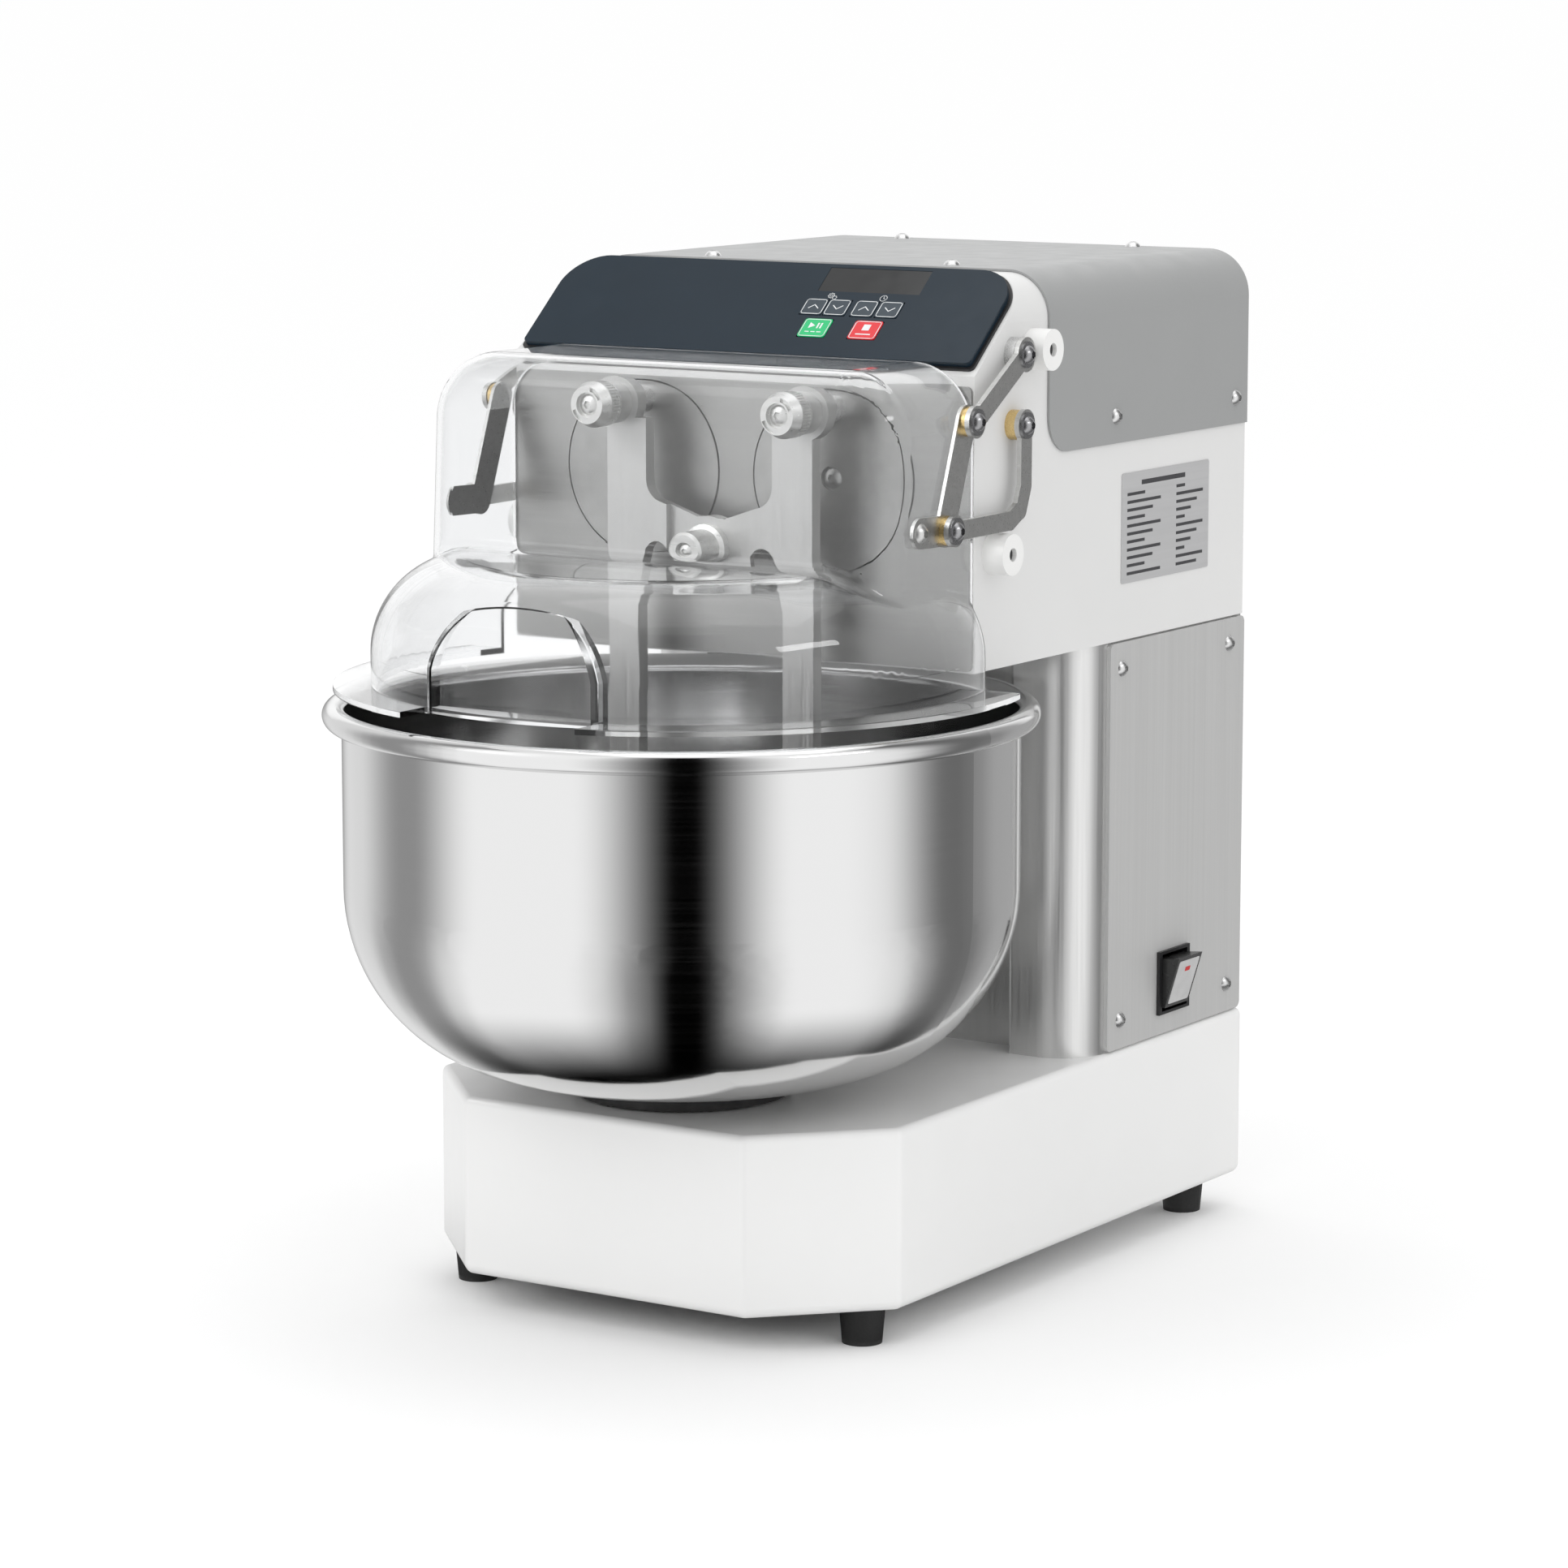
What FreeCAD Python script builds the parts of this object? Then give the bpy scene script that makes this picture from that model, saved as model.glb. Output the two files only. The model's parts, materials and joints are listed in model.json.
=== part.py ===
"""Bench-top twin-arm dough mixer with a 20 litre turning bowl.

Millimetres.  +Z is up, the bowl stands towards -Y, +X is the operator's right.
The origin is on the floor, under the middle of the whole machine.
"""
import FreeCAD, Part
import math
import os
import re
import Sketcher
from FreeCAD import Placement, Rotation, Vector

doc = FreeCAD.newDocument("twin_arm_mixer")

# ---------------------------------------------------------------- driving dimensions
DIMENSIONS = {
    # base
    "base_half": 147.4, "base_front": -162, "base_back": 275, "base_side_front": -102,
    "base_nose_half": 88.7, "base_low": 19.4, "base_top": 116.7, "base_wall": 2.5,
    "base_flange": 40, "base_flange_thick": 6,
    "foot_across": 124.1, "foot_front": -102.3, "foot_back": 246.7,
    "foot_low_radius": 10.6, "foot_top_radius": 12.3,
    # bowl and its drive
    "bowl_axis_y": -85, "rim_radius": 183.7, "rim_tube": 6.3, "rim_level": 322.2,
    "bowl_radius": 179.8, "bowl_gauge": 1.5, "bowl_corner": 100, "bowl_corner_level": 230,
    "bowl_floor": 126, "bowl_floor_half": 58, "hub_low": 117.7,
    "spindle_radius": 15, "spindle_low": 92, "spindle_gap": 0.05,
    # column
    "column_half": 143.8, "column_front": 109, "pillar_front": 90.5, "pillar_inner": 98,
    "column_back": 272, "column_wall": 1.5, "pillar_round": 27,
    "side_panel_front": 117, "side_panel_thick": 2.6, "side_panel_low": 117.5,
    "side_panel_top": 344.8,
    # head
    "head_half": 146, "head_front": -29.5, "head_back": 270, "head_low": 346,
    "slant_low": 501.4, "slant_back": 29.2, "head_top": 550.8, "head_wall": 2,
    "head_round": 24, "front_plate_thick": 1.5, "front_plate_top": 496,
    "cover_front": 46, "cover_low": 455, "cover_gap": 0.2, "cover_wall": 1.2,
    "cover_corner": 20,
    # control panel, measured along the slant
    "panel_half": 142, "panel_low": 5, "panel_top": 74.5, "panel_round": 24,
    "panel_thick": 3, "bezel_thick": 1.6, "key_travel": 0.8, "key_gap": 0.25,
    "arrow_key_wide": 13.6, "arrow_key_tall": 12, "main_key_wide": 17, "main_key_tall": 13.6,
    "arrow_key_row": 41.3, "main_key_row": 25.4,
    # arm drive
    "crank_across": 60, "crank_level": 444, "crank_throw": 37, "crank_disc_radius": 48.5,
    "crank_disc_front": -31.2, "crank_disc_thick": 6, "crank_shaft_radius": 12,
    "crank_pin_radius": 8, "running_gap": 0.05, "gear_front": 4, "gear_thick": 14,
    "gear_module": 1.5, "gear_teeth": 60, "pinion_teeth": 20, "pinion_shaft_radius": 8,
    "gear_plate_front": -14, "gear_plate_thick": 8, "bearing_radius": 26,
    # arms
    "arm_front": -58, "arm_thick": 8, "arm_eye": 15, "leg_inner": 40, "leg_outer": 65,
    "blade_inner": 46, "boss_radius": 11.5, "boss_front": -69, "joint_level": 406,
    "joint_eye": 17, "joint_pin_radius": 6, "finger_level": 256, "finger_radius": 75,
    "finger_sweep": 38, "knob_radius": 12.5, "knob_front": -84.5,
    # guard and its linkage
    "guard_half": 147, "guard_rear": -32.5, "guard_box_front": -122, "guard_box_top": 508,
    "guard_wall": 2.6, "guard_box_top_side": 36, "guard_box_brow": 22, "guard_blend": 9,
    "dome_radius": 164, "dome_round": 50, "dome_top": 405, "lip_radius": 184,
    "lip_low": 335.6, "lip_thick": 3, "recess_half": 50, "recess_front": -232,
    "recess_top": 398, "recess_lip_radius": 162,
    "link_plane": 152.2, "link_thick": 2.8, "link_gap": 0.3, "link_pin_radius": 3,
    "bracket_thick": 2,
    "upper_pivot_y": 9, "upper_pivot_z": 510.7, "lower_pivot_y": 9.3, "lower_pivot_z": 473.6,
    "guard_high_y": -41.5, "guard_high_z": 479.2, "guard_low_y": -62, "guard_low_z": 424.5,
    "bracket_end_y": -87, "bracket_end_z": 425.2,
    "stop_radius": 11, "stop_long": 12.7, "stop_low_y": -10.4, "stop_low_z": 407.5,
    "stop_high_y": 30, "stop_high_z": 512,
    # plate and switch on the right side
    "plate_front": 127.6, "plate_back": 227, "plate_low": 377, "plate_top": 437.5,
    "switch_front": 173, "switch_back": 208, "switch_low": 129, "switch_top": 165,
    "rocker_axis_x": 146, "rocker_axis_z": 147,
}

sheet = doc.addObject("Spreadsheet::Sheet", "Sizes")
for row, (alias, value) in enumerate(DIMENSIONS.items(), start=1):
    sheet.set("A%d" % row, alias)
    sheet.set("B%d" % row, str(value))
    sheet.setAlias("B%d" % row, alias)
doc.recompute()

X_AXIS, Y_AXIS, Z_AXIS = Vector(1, 0, 0), Vector(0, 1, 0), Vector(0, 0, 1)
TURN = {"x": Rotation(Y_AXIS, 90), "y": Rotation(X_AXIS, -90), "z": Rotation()}
WORD = re.compile(r"[a-z][a-z_]+")
nodes = []


def size(alias):
    """A driving dimension as the sheet now holds it."""
    return float(sheet.get(alias))


def link(text):
    """Turn the aliases in an expression into references to the sheet."""
    return WORD.sub(lambda found: "Sizes." + found.group() if found.group() in DIMENSIONS
                    else found.group(), str(text))


def bind(item, prop, text):
    item.setExpression(prop, link(text))


def node(item, label):
    """Name a finished sub-part, so that it is written out."""
    item.Label = label
    nodes.append(item)
    return item


# ---------------------------------------------------------------- primitives and booleans
def place(item, corner, axis="z"):
    item.Placement = Placement(Vector(), TURN[axis])
    for letter, text in zip("xyz", corner):
        bind(item, "Placement.Base." + letter, text)


def box(corner, lengths, name="block"):
    item = doc.addObject("Part::Box", name)
    for prop, text in zip(("Length", "Width", "Height"), lengths):
        bind(item, prop, text)
    place(item, corner)
    return item


def cylinder(centre, radius, height, axis="z", name="round"):
    item = doc.addObject("Part::Cylinder", name)
    bind(item, "Radius", radius)
    bind(item, "Height", height)
    place(item, centre, axis)
    return item


def cone(centre, low_radius, top_radius, height, axis="z"):
    item = doc.addObject("Part::Cone", "taper")
    bind(item, "Radius1", low_radius)
    bind(item, "Radius2", top_radius)
    bind(item, "Height", height)
    place(item, centre, axis)
    return item


def fuse(*items):
    item = doc.addObject("Part::MultiFuse", "joined")
    item.Shapes = list(items)
    return item


def cut(base, *tools):
    item = doc.addObject("Part::Cut", "cut_out")
    item.Base = base
    item.Tool = tools[0] if len(tools) == 1 else fuse(*tools)
    return item


def group(*items):
    """Identical pieces that share a node and stay separate solids."""
    item = doc.addObject("Part::Compound", "group")
    item.Links = list(items)
    return item


def rounded(base, radius, choose):
    """Round the edges of a solid that the test picks out."""
    doc.recompute()
    item = doc.addObject("Part::Fillet", "rounded")
    item.Base = base
    edges = [number for number, edge in enumerate(base.Shape.Edges, start=1) if choose(edge)]
    item.Edges = [(number, radius, radius) for number in edges]
    return item


def solid(shape, label, placement=None):
    """A shape that no feature or primitive makes."""
    item = doc.addObject("Part::Feature", label)
    item.Shape = shape
    if placement:
        item.Placement = placement
    return item


# ---------------------------------------------------------------- sketches and bodies
def body(name):
    return doc.addObject("PartDesign::Body", name)


def sketch(owner, role, offset="0", name="outline"):
    """A sketch on one of the body's own origin planes, moved along its normal."""
    item = owner.newObject("Sketcher::SketchObject", name)
    plane = [part for part in owner.Origin.OriginFeatures if part.Role == role][0]
    item.AttachmentSupport = [(plane, "")]
    item.MapMode = "FlatFace"
    bind(item, "AttachmentOffset.Base.z", offset)
    return item


def pin_point(item, geometry, point, where):
    """Hold a sketch point at two expressions from the sketch's origin."""
    for kind, text in zip(("DistanceX", "DistanceY"), where):
        number = item.addConstraint(Sketcher.Constraint(kind, -1, 1, geometry, point, 1.0))
        bind(item, "Constraints[%d]" % number, text)


def polygon(item, corners):
    """A closed outline through corners that are pairs of expressions."""
    count = len(corners)
    first = item.GeometryCount
    ring = [Vector(math.cos(2 * math.pi * k / count), math.sin(2 * math.pi * k / count), 0)
            for k in range(count)]
    for k in range(count):
        item.addGeometry(Part.LineSegment(ring[k], ring[(k + 1) % count]))
    for k in range(count):
        after = first + (k + 1) % count
        item.addConstraint(Sketcher.Constraint("Coincident", first + k, 2, after, 1))
    for k, corner in enumerate(corners):
        pin_point(item, first + k, 1, corner)
    return item


def rectangle(item, low, high):
    return polygon(item, [(low[0], low[1]), (high[0], low[1]),
                          (high[0], high[1]), (low[0], high[1])])


def circle(item, centre, radius):
    number = item.addGeometry(Part.Circle(Vector(1, 1, 0), Z_AXIS, 2))
    pin_point(item, number, 3, centre)
    held = item.addConstraint(Sketcher.Constraint("Radius", number, 2.0))
    bind(item, "Constraints[%d]" % held, radius)
    return item


def pad(owner, profile, length, midplane=False, backward=False):
    item = owner.newObject("PartDesign::Pad", "pad")
    item.Profile = profile
    bind(item, "Length", length)
    item.Midplane = midplane
    item.Reversed = backward
    return item


def pocket(owner, profile, length, midplane=False, backward=False):
    """A pocket that has to take something away."""
    doc.recompute()
    before = owner.Shape.Volume
    item = owner.newObject("PartDesign::Pocket", "pocket")
    item.Profile = profile
    bind(item, "Length", length)
    item.Midplane = midplane
    item.Reversed = backward
    doc.recompute()
    if owner.Shape.Volume > before - 0.1:
        raise RuntimeError("a pocket in %s cuts nothing" % owner.Label)
    return item


def round_edges(owner, radius, choose):
    """Fillet the edges of the body's last feature that the test picks out."""
    doc.recompute()
    last = owner.Tip
    names = ["Edge%d" % number for number, edge in enumerate(last.Shape.Edges, start=1)
             if choose(edge)]
    item = owner.newObject("PartDesign::Fillet", "fillet")
    item.Base = (last, names)
    bind(item, "Radius", radius)
    doc.recompute()
    return item


def runs_along(edge, axis):
    if not isinstance(edge.Curve, Part.Line):
        return False
    return abs(edge.Curve.Direction.dot(axis)) > 0.999


def edge_at(edge, **where):
    """True if every vertex of the edge has the given coordinates."""
    return all(abs(getattr(vertex.Point, letter) - value) < 0.01
               for vertex in edge.Vertexes for letter, value in where.items())


# ---------------------------------------------------------------- repeated small pieces
def revolved(points, axis_point=Vector(), axis=Z_AXIS):
    """A solid turned from a closed outline in the XZ plane."""
    wire = Part.makePolygon([Vector(x, 0, z) for x, z in points + points[:1]])
    return Part.Face(wire).revolve(axis_point, axis, 360)


def button_head(head_radius, head_height):
    """The dome head of a hexagon-socket screw, seated at the origin and facing +Z."""
    dome = (head_radius ** 2 + head_height ** 2) / (2 * head_height)
    ball = Part.makeSphere(dome, Vector(0, 0, head_height - dome))
    head = ball.common(Part.makeCylinder(head_radius, head_height))
    across = 0.42 * head_radius
    corners = [Vector(across * math.cos(math.radians(60 * k)),
                      across * math.sin(math.radians(60 * k)), 0.3 * head_height)
               for k in range(7)]
    socket = Part.Face(Part.makePolygon(corners)).extrude(Vector(0, 0, head_height))
    return head.cut(socket)


def button_screw(head_radius, head_height, shank_radius, shank_length):
    """A dome head on a shank that points to -Z."""
    shank = Part.makeCylinder(shank_radius, shank_length, Vector(0, 0, -shank_length))
    return button_head(head_radius, head_height).fuse(shank).removeSplitter()


def placed(shape, point, direction):
    copy = shape.copy()
    copy.Placement = Placement(Vector(*point), Rotation(Z_AXIS, Vector(*direction)))
    return copy


def involute_gear(teeth, module, thickness, backlash, bore=0.0):
    """A spur gear about +Z from z = 0, with a tooth centred on +X."""
    pitch = module * teeth / 2
    base = pitch * math.cos(math.radians(20))
    tip = pitch + module
    root = pitch - 1.25 * module
    pitch_turn = math.tan(math.radians(20)) - math.radians(20)
    half = (math.pi * module / 2 - backlash) / (2 * pitch)
    steps = 4
    low = max(base, root)

    def flank(radius):
        turn = math.acos(min(1.0, base / radius))
        return half + pitch_turn - (math.tan(turn) - turn)

    def polar(radius, angle):
        return Vector(radius * math.cos(angle), radius * math.sin(angle), 0)

    edges = []
    tooth_step = 2 * math.pi / teeth
    radii = [low + (tip - low) * k / steps for k in range(steps + 1)]
    for tooth in range(teeth):
        middle = tooth * tooth_step
        rising = [polar(r, middle - flank(r)) for r in radii]
        falling = [polar(r, middle + flank(r)) for r in reversed(radii)]
        foot_in = polar(root, middle - flank(low))
        foot_out = polar(root, middle + flank(low))
        following = polar(root, middle + tooth_step - flank(low))
        up = Part.BSplineCurve()
        up.interpolate(rising)
        down = Part.BSplineCurve()
        down.interpolate(falling)
        if low > root + 0.001:
            edges.append(Part.LineSegment(foot_in, rising[0]).toShape())
        edges.append(up.toShape())
        edges.append(Part.Arc(rising[-1], polar(tip, middle), falling[0]).toShape())
        edges.append(down.toShape())
        if low > root + 0.001:
            edges.append(Part.LineSegment(falling[-1], foot_out).toShape())
        valley = polar(root, middle + tooth_step / 2)
        edges.append(Part.Arc(foot_out, valley, following).toShape())
    gear = Part.Face(Part.Wire(edges)).extrude(Vector(0, 0, thickness))
    if bore:
        gear = gear.cut(Part.makeCylinder(bore, thickness))
    return gear


# ---------------------------------------------------------------- base
def base_outline(item, inset):
    """The base in plan: a box whose two front corners are cut off."""
    edge = "(base_half - %s)" % inset
    nose = "(base_nose_half - 0.41*%s)" % inset
    front = "(base_front + %s)" % inset
    side_front = "(base_side_front + 0.42*%s)" % inset
    back = "(base_back - %s)" % inset
    return polygon(item, [("-" + edge, back), ("-" + edge, side_front), ("-" + nose, front),
                          (nose, front), (edge, side_front), (edge, back)])


def make_base():
    base = body("base_body")
    pad(base, base_outline(sketch(base, "XY_Plane", "base_low"), "0"), "base_top - base_low")
    round_edges(base, "5", lambda edge: runs_along(edge, Z_AXIS))
    round_edges(base, "4", lambda edge: edge_at(edge, z=size("base_top")))
    round_edges(base, "5.5", lambda edge: edge_at(edge, z=size("base_low")))
    opening = base_outline(sketch(base, "XY_Plane", "base_low"), "base_flange")
    pocket(base, opening, "base_flange_thick", backward=True)
    room = base_outline(sketch(base, "XY_Plane", "base_low + base_flange_thick"), "base_wall")
    pocket(base, room, "base_top - base_wall - base_low - base_flange_thick", backward=True)
    holes = sketch(base, "XY_Plane", "base_low")
    circle(holes, ("0", "bowl_axis_y"), "spindle_radius + 4")
    circle(holes, ("0", "190"), "20")
    pocket(base, holes, "base_top", backward=True)
    node(base, "base_housing")

    plate = body("bottom_plate_body")
    outline = base_outline(sketch(plate, "XY_Plane", "base_low + base_flange_thick"), "6")
    pad(plate, outline, "2")
    node(plate, "base_bottom_plate")

    feet = [cone((x, y, "0"), "foot_low_radius", "foot_top_radius", "base_low")
            for x in ("-foot_across", "foot_across") for y in ("foot_front", "foot_back")]
    node(group(*feet), "rubber_feet")


# ---------------------------------------------------------------- bowl and its drive
def make_bowl():
    radius, gauge = size("bowl_radius"), size("bowl_gauge")
    corner, level = size("bowl_corner"), size("bowl_corner_level")
    floor, floor_half = size("bowl_floor"), size("bowl_floor_half")
    rim = size("rim_level") - 2
    middle = Vector(radius - corner, 0, level)

    def corner_arc(bend):
        start = middle + Vector(0, 0, -bend)
        half_way = middle + Vector(bend * math.sin(math.pi / 4), 0, -bend * math.cos(math.pi / 4))
        return Part.Arc(start, half_way, middle + Vector(bend, 0, 0)).toShape()

    def run(start, end):
        return Part.LineSegment(Vector(start[0], 0, start[1]), Vector(end[0], 0, end[1])).toShape()

    low = level - corner
    edges = [run((0, floor), (floor_half, floor)), run((floor_half, floor), (middle.x, low)),
             corner_arc(corner), run((radius, level), (radius, rim)),
             run((radius, rim), (radius - gauge, rim)), run((radius - gauge, rim),
                                                            (radius - gauge, level)),
             corner_arc(corner - gauge), run((middle.x, low + gauge), (floor_half, floor + gauge)),
             run((floor_half, floor + gauge), (0, floor + gauge)),
             run((0, floor + gauge), (0, floor))]
    wall = Part.Face(Part.Wire(Part.__sortEdges__(edges))).revolve(Vector(), Z_AXIS, 360)
    shell = solid(wall, "bowl_wall", Placement(Vector(0, size("bowl_axis_y"), 0), Rotation()))
    rim_tube = doc.addObject("Part::Torus", "rim_tube")
    bind(rim_tube, "Radius1", "rim_radius")
    bind(rim_tube, "Radius2", "rim_tube")
    place(rim_tube, ("0", "bowl_axis_y", "rim_level"))
    node(fuse(shell, rim_tube), "bowl")

    axis = ("0", "bowl_axis_y")
    hub = cylinder(axis + ("hub_low",), "bowl_floor_half", "bowl_floor - hub_low")
    collar = cylinder(axis + ("hub_low",), "spindle_radius", "2")
    node(cut(hub, collar), "bowl_hub")
    shaft = cylinder(axis + ("spindle_low",), "spindle_radius", "hub_low + 2 - spindle_low")
    node(shaft, "bowl_spindle")

    bolt = button_head(5, 2.2)
    places = [(40 * math.cos(math.radians(angle)),
               size("bowl_axis_y") + 40 * math.sin(math.radians(angle)),
               floor + gauge) for angle in (45, 135, 225, 315)]
    heads = [placed(bolt, point, (0, 0, 1)) for point in places]
    node(solid(Part.makeCompound(heads), "bolt_heads"), "bowl_bolts")


def make_bowl_drive():
    axis = ("0", "bowl_axis_y")
    under_top = "base_top - base_wall"
    flange = cylinder(axis + (under_top + " - 8",), "45", "8")
    sleeve = cylinder(axis + ("90",), "28", under_top + " - 90")
    bore = cylinder(axis + ("80",), "spindle_radius + spindle_gap", "60")
    node(cut(fuse(flange, sleeve), bore), "bowl_bearing_unit")

    gear_case = box(("-50", "bowl_axis_y - 45", "34"), ("100", "110", "56"))
    motor = cylinder(("0", "bowl_axis_y + 60", "62"), "27", "120", "y")
    terminal_box = box(("-22", "30", "80"), ("44", "46", "22"))
    node(fuse(rounded(gear_case, 6, lambda edge: runs_along(edge, Z_AXIS)), motor,
              terminal_box), "bowl_gearmotor")


# ---------------------------------------------------------------- column
def make_column():
    shell = body("column_body")
    outer = sketch(shell, "XY_Plane", "base_top")
    polygon(outer, [("-column_half", "column_back"), ("-column_half", "pillar_front"),
                    ("-pillar_inner", "pillar_front"), ("-pillar_inner", "column_front"),
                    ("pillar_inner", "column_front"), ("pillar_inner", "pillar_front"),
                    ("column_half", "pillar_front"), ("column_half", "column_back")])
    pad(shell, outer, "head_low - base_top")
    front = size("pillar_front")
    round_edges(shell, "pillar_round", lambda edge: runs_along(edge, Z_AXIS)
                and abs(abs(edge.Vertexes[0].X) - size("column_half")) < 0.01
                and abs(edge.Vertexes[0].Y - front) < 0.01)
    round_edges(shell, "3", lambda edge: runs_along(edge, Z_AXIS)
                and abs(abs(edge.Vertexes[0].X) - size("pillar_inner")) < 0.01
                and abs(edge.Vertexes[0].Y - front) < 0.01)
    room = sketch(shell, "XY_Plane", "base_top")
    inner = "(column_half - column_wall)"
    polygon(room, [("-" + inner, "column_back + 1"), ("-" + inner, "119.5"),
                   ("-124", "119.5"), ("-124", "pillar_front + 2.5"),
                   ("-pillar_inner - 2", "pillar_front + 2.5"),
                   ("-pillar_inner - 2", "column_front + column_wall"),
                   ("pillar_inner + 2", "column_front + column_wall"),
                   ("pillar_inner + 2", "pillar_front + 2.5"), ("124", "pillar_front + 2.5"),
                   ("124", "119.5"), (inner, "119.5"), (inner, "column_back + 1")])
    pocket(shell, room, "head_low", backward=True)
    window = sketch(shell, "YZ_Plane", "column_half - 5", "switch_window")
    rectangle(window, ("switch_front + 1", "switch_low + 0.5"),
              ("switch_back - 1", "switch_top - 0.5"))
    pocket(shell, window, "10", backward=True)
    node(shell, "column_shell")

    for side, name in ((-1, "left"), (1, "right")):
        panel = body("side_panel_body_" + name)
        start = "column_half" if side > 0 else "-column_half - side_panel_thick"
        face = sketch(panel, "YZ_Plane", start)
        rectangle(face, ("side_panel_front", "side_panel_low"), ("column_back", "side_panel_top"))
        pad(panel, face, "side_panel_thick")
        round_edges(panel, "4", lambda edge: runs_along(edge, X_AXIS))
        holes = sketch(panel, "YZ_Plane", start, "holes")
        for y, z in SIDE_SCREWS:
            circle(holes, (str(y), str(z)), "2.7")
        if side > 0:
            rectangle(holes, ("switch_front + 1", "switch_low + 0.5"),
                      ("switch_back - 1", "switch_top - 0.5"))
        pocket(panel, holes, "side_panel_thick", backward=True)
        node(panel, "column_side_panel_" + name)

    rear = body("rear_body")
    face = sketch(rear, "XZ_Plane", "-column_back")
    rectangle(face, ("-column_half + column_wall + 0.2", "base_top + 0.5"),
              ("column_half - column_wall - 0.2", "head_low - 0.5"))
    pad(rear, face, "column_wall")
    slots = sketch(rear, "XZ_Plane", "-column_back", "louvres")
    rectangle(slots, ("-60", "280"), ("60", "283"))
    cutter = pocket(rear, slots, "column_wall", backward=True)
    pattern = rear.newObject("PartDesign::LinearPattern", "louvre_row")
    pattern.Originals = [cutter]
    pattern.Direction = (slots, ["V_Axis"])
    pattern.Length = 45
    pattern.Occurrences = 6
    rear.Tip = pattern
    opening = sketch(rear, "XZ_Plane", "-column_back", "gland_hole")
    circle(opening, ("-90", "150"), "8.2")
    pocket(rear, opening, "column_wall", backward=True)
    node(rear, "rear_panel")

    gland_out = cone(("-90", "column_back", "150"), "12", "10", "3", "y")
    gland_in = cylinder(("-90", "column_back - 14", "150"), "8", "14", "y")
    bore = cylinder(("-90", "column_back - 20", "150"), "3.6", "30", "y")
    node(cut(fuse(gland_out, gland_in), bore), "cable_gland")

    case = box(("-column_half + column_wall", "140", "150"), ("48", "90", "150"))
    fins = [box(("-column_half + column_wall + 48", 146 + 9 * k, "156"), ("16", "3", "138"))
            for k in range(9)]
    node(fuse(case, *fins), "inverter_module")


SIDE_SCREWS = ((130, 330.4), (254, 330.4), (131, 133.7), (255, 133.6))
COVER_SIDE_SCREWS = ((118.8, 469.7), (256.2, 469.8))
COVER_TOP_SCREWS = ((77, 62), (77, 262))


def make_casing_screws():
    """The identical dome screws of the side panels and the top cover."""
    screw = button_screw(4.6, 3, 2.4, 1.4)
    places = []
    for side in (-1, 1):
        panel_face = side * (size("column_half") + size("side_panel_thick"))
        places += [((panel_face, y, z), (side, 0, 0)) for y, z in SIDE_SCREWS]
        cover_face = side * (size("head_half") + size("cover_gap") + size("cover_wall"))
        places += [((cover_face, y, z), (side, 0, 0)) for y, z in COVER_SIDE_SCREWS]
        top = size("head_top") + size("cover_gap") + size("cover_wall")
        places += [((side * x, y, top), (0, 0, 1)) for x, y in COVER_TOP_SCREWS]
    screws = [placed(screw, point, direction) for point, direction in places]
    node(solid(Part.makeCompound(screws), "dome_screws"), "casing_screws")


# ---------------------------------------------------------------- head
def head_block(name, inset, low, front, back):
    """The head's cross-section run from front to back, with rounded top corners."""
    block = body(name)
    face = sketch(block, "XZ_Plane", "-(%s)" % back)
    half = "(head_half - (%s))" % inset
    rectangle(face, ("-" + half, low), (half, "head_top - (%s)" % inset))
    pad(block, face, "(%s) - (%s)" % (back, front))
    top = size("head_top") - 5
    round_edges(block, "head_round - (%s)" % inset,
                lambda edge: runs_along(edge, Y_AXIS) and edge.Vertexes[0].Z > top)
    return block


def slant_tool(depth):
    """Everything in front of the control panel's slope, that far beneath its face."""
    run_y = size("slant_back") - size("head_front")
    run_z = size("head_top") - size("slant_low")
    angle = math.degrees(math.atan2(run_z, run_y))
    item = doc.addObject("Part::Box", "slope_cutter")
    item.Length = 400
    item.Width = 200
    item.Height = 80
    turn = Rotation(X_AXIS, angle)
    start = Vector(-200, size("head_front"), size("slant_low"))
    item.Placement = Placement(start + turn.multVec(Vector(0, -60, -depth)), turn)
    return item


def slope_placement():
    """The control panel's own frame: X across, Y up the slope, Z out of it."""
    run_y = size("slant_back") - size("head_front")
    run_z = size("head_top") - size("slant_low")
    turn = Rotation(X_AXIS, math.degrees(math.atan2(run_z, run_y)))
    return Placement(Vector(0, size("head_front"), size("slant_low")), turn)


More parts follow.
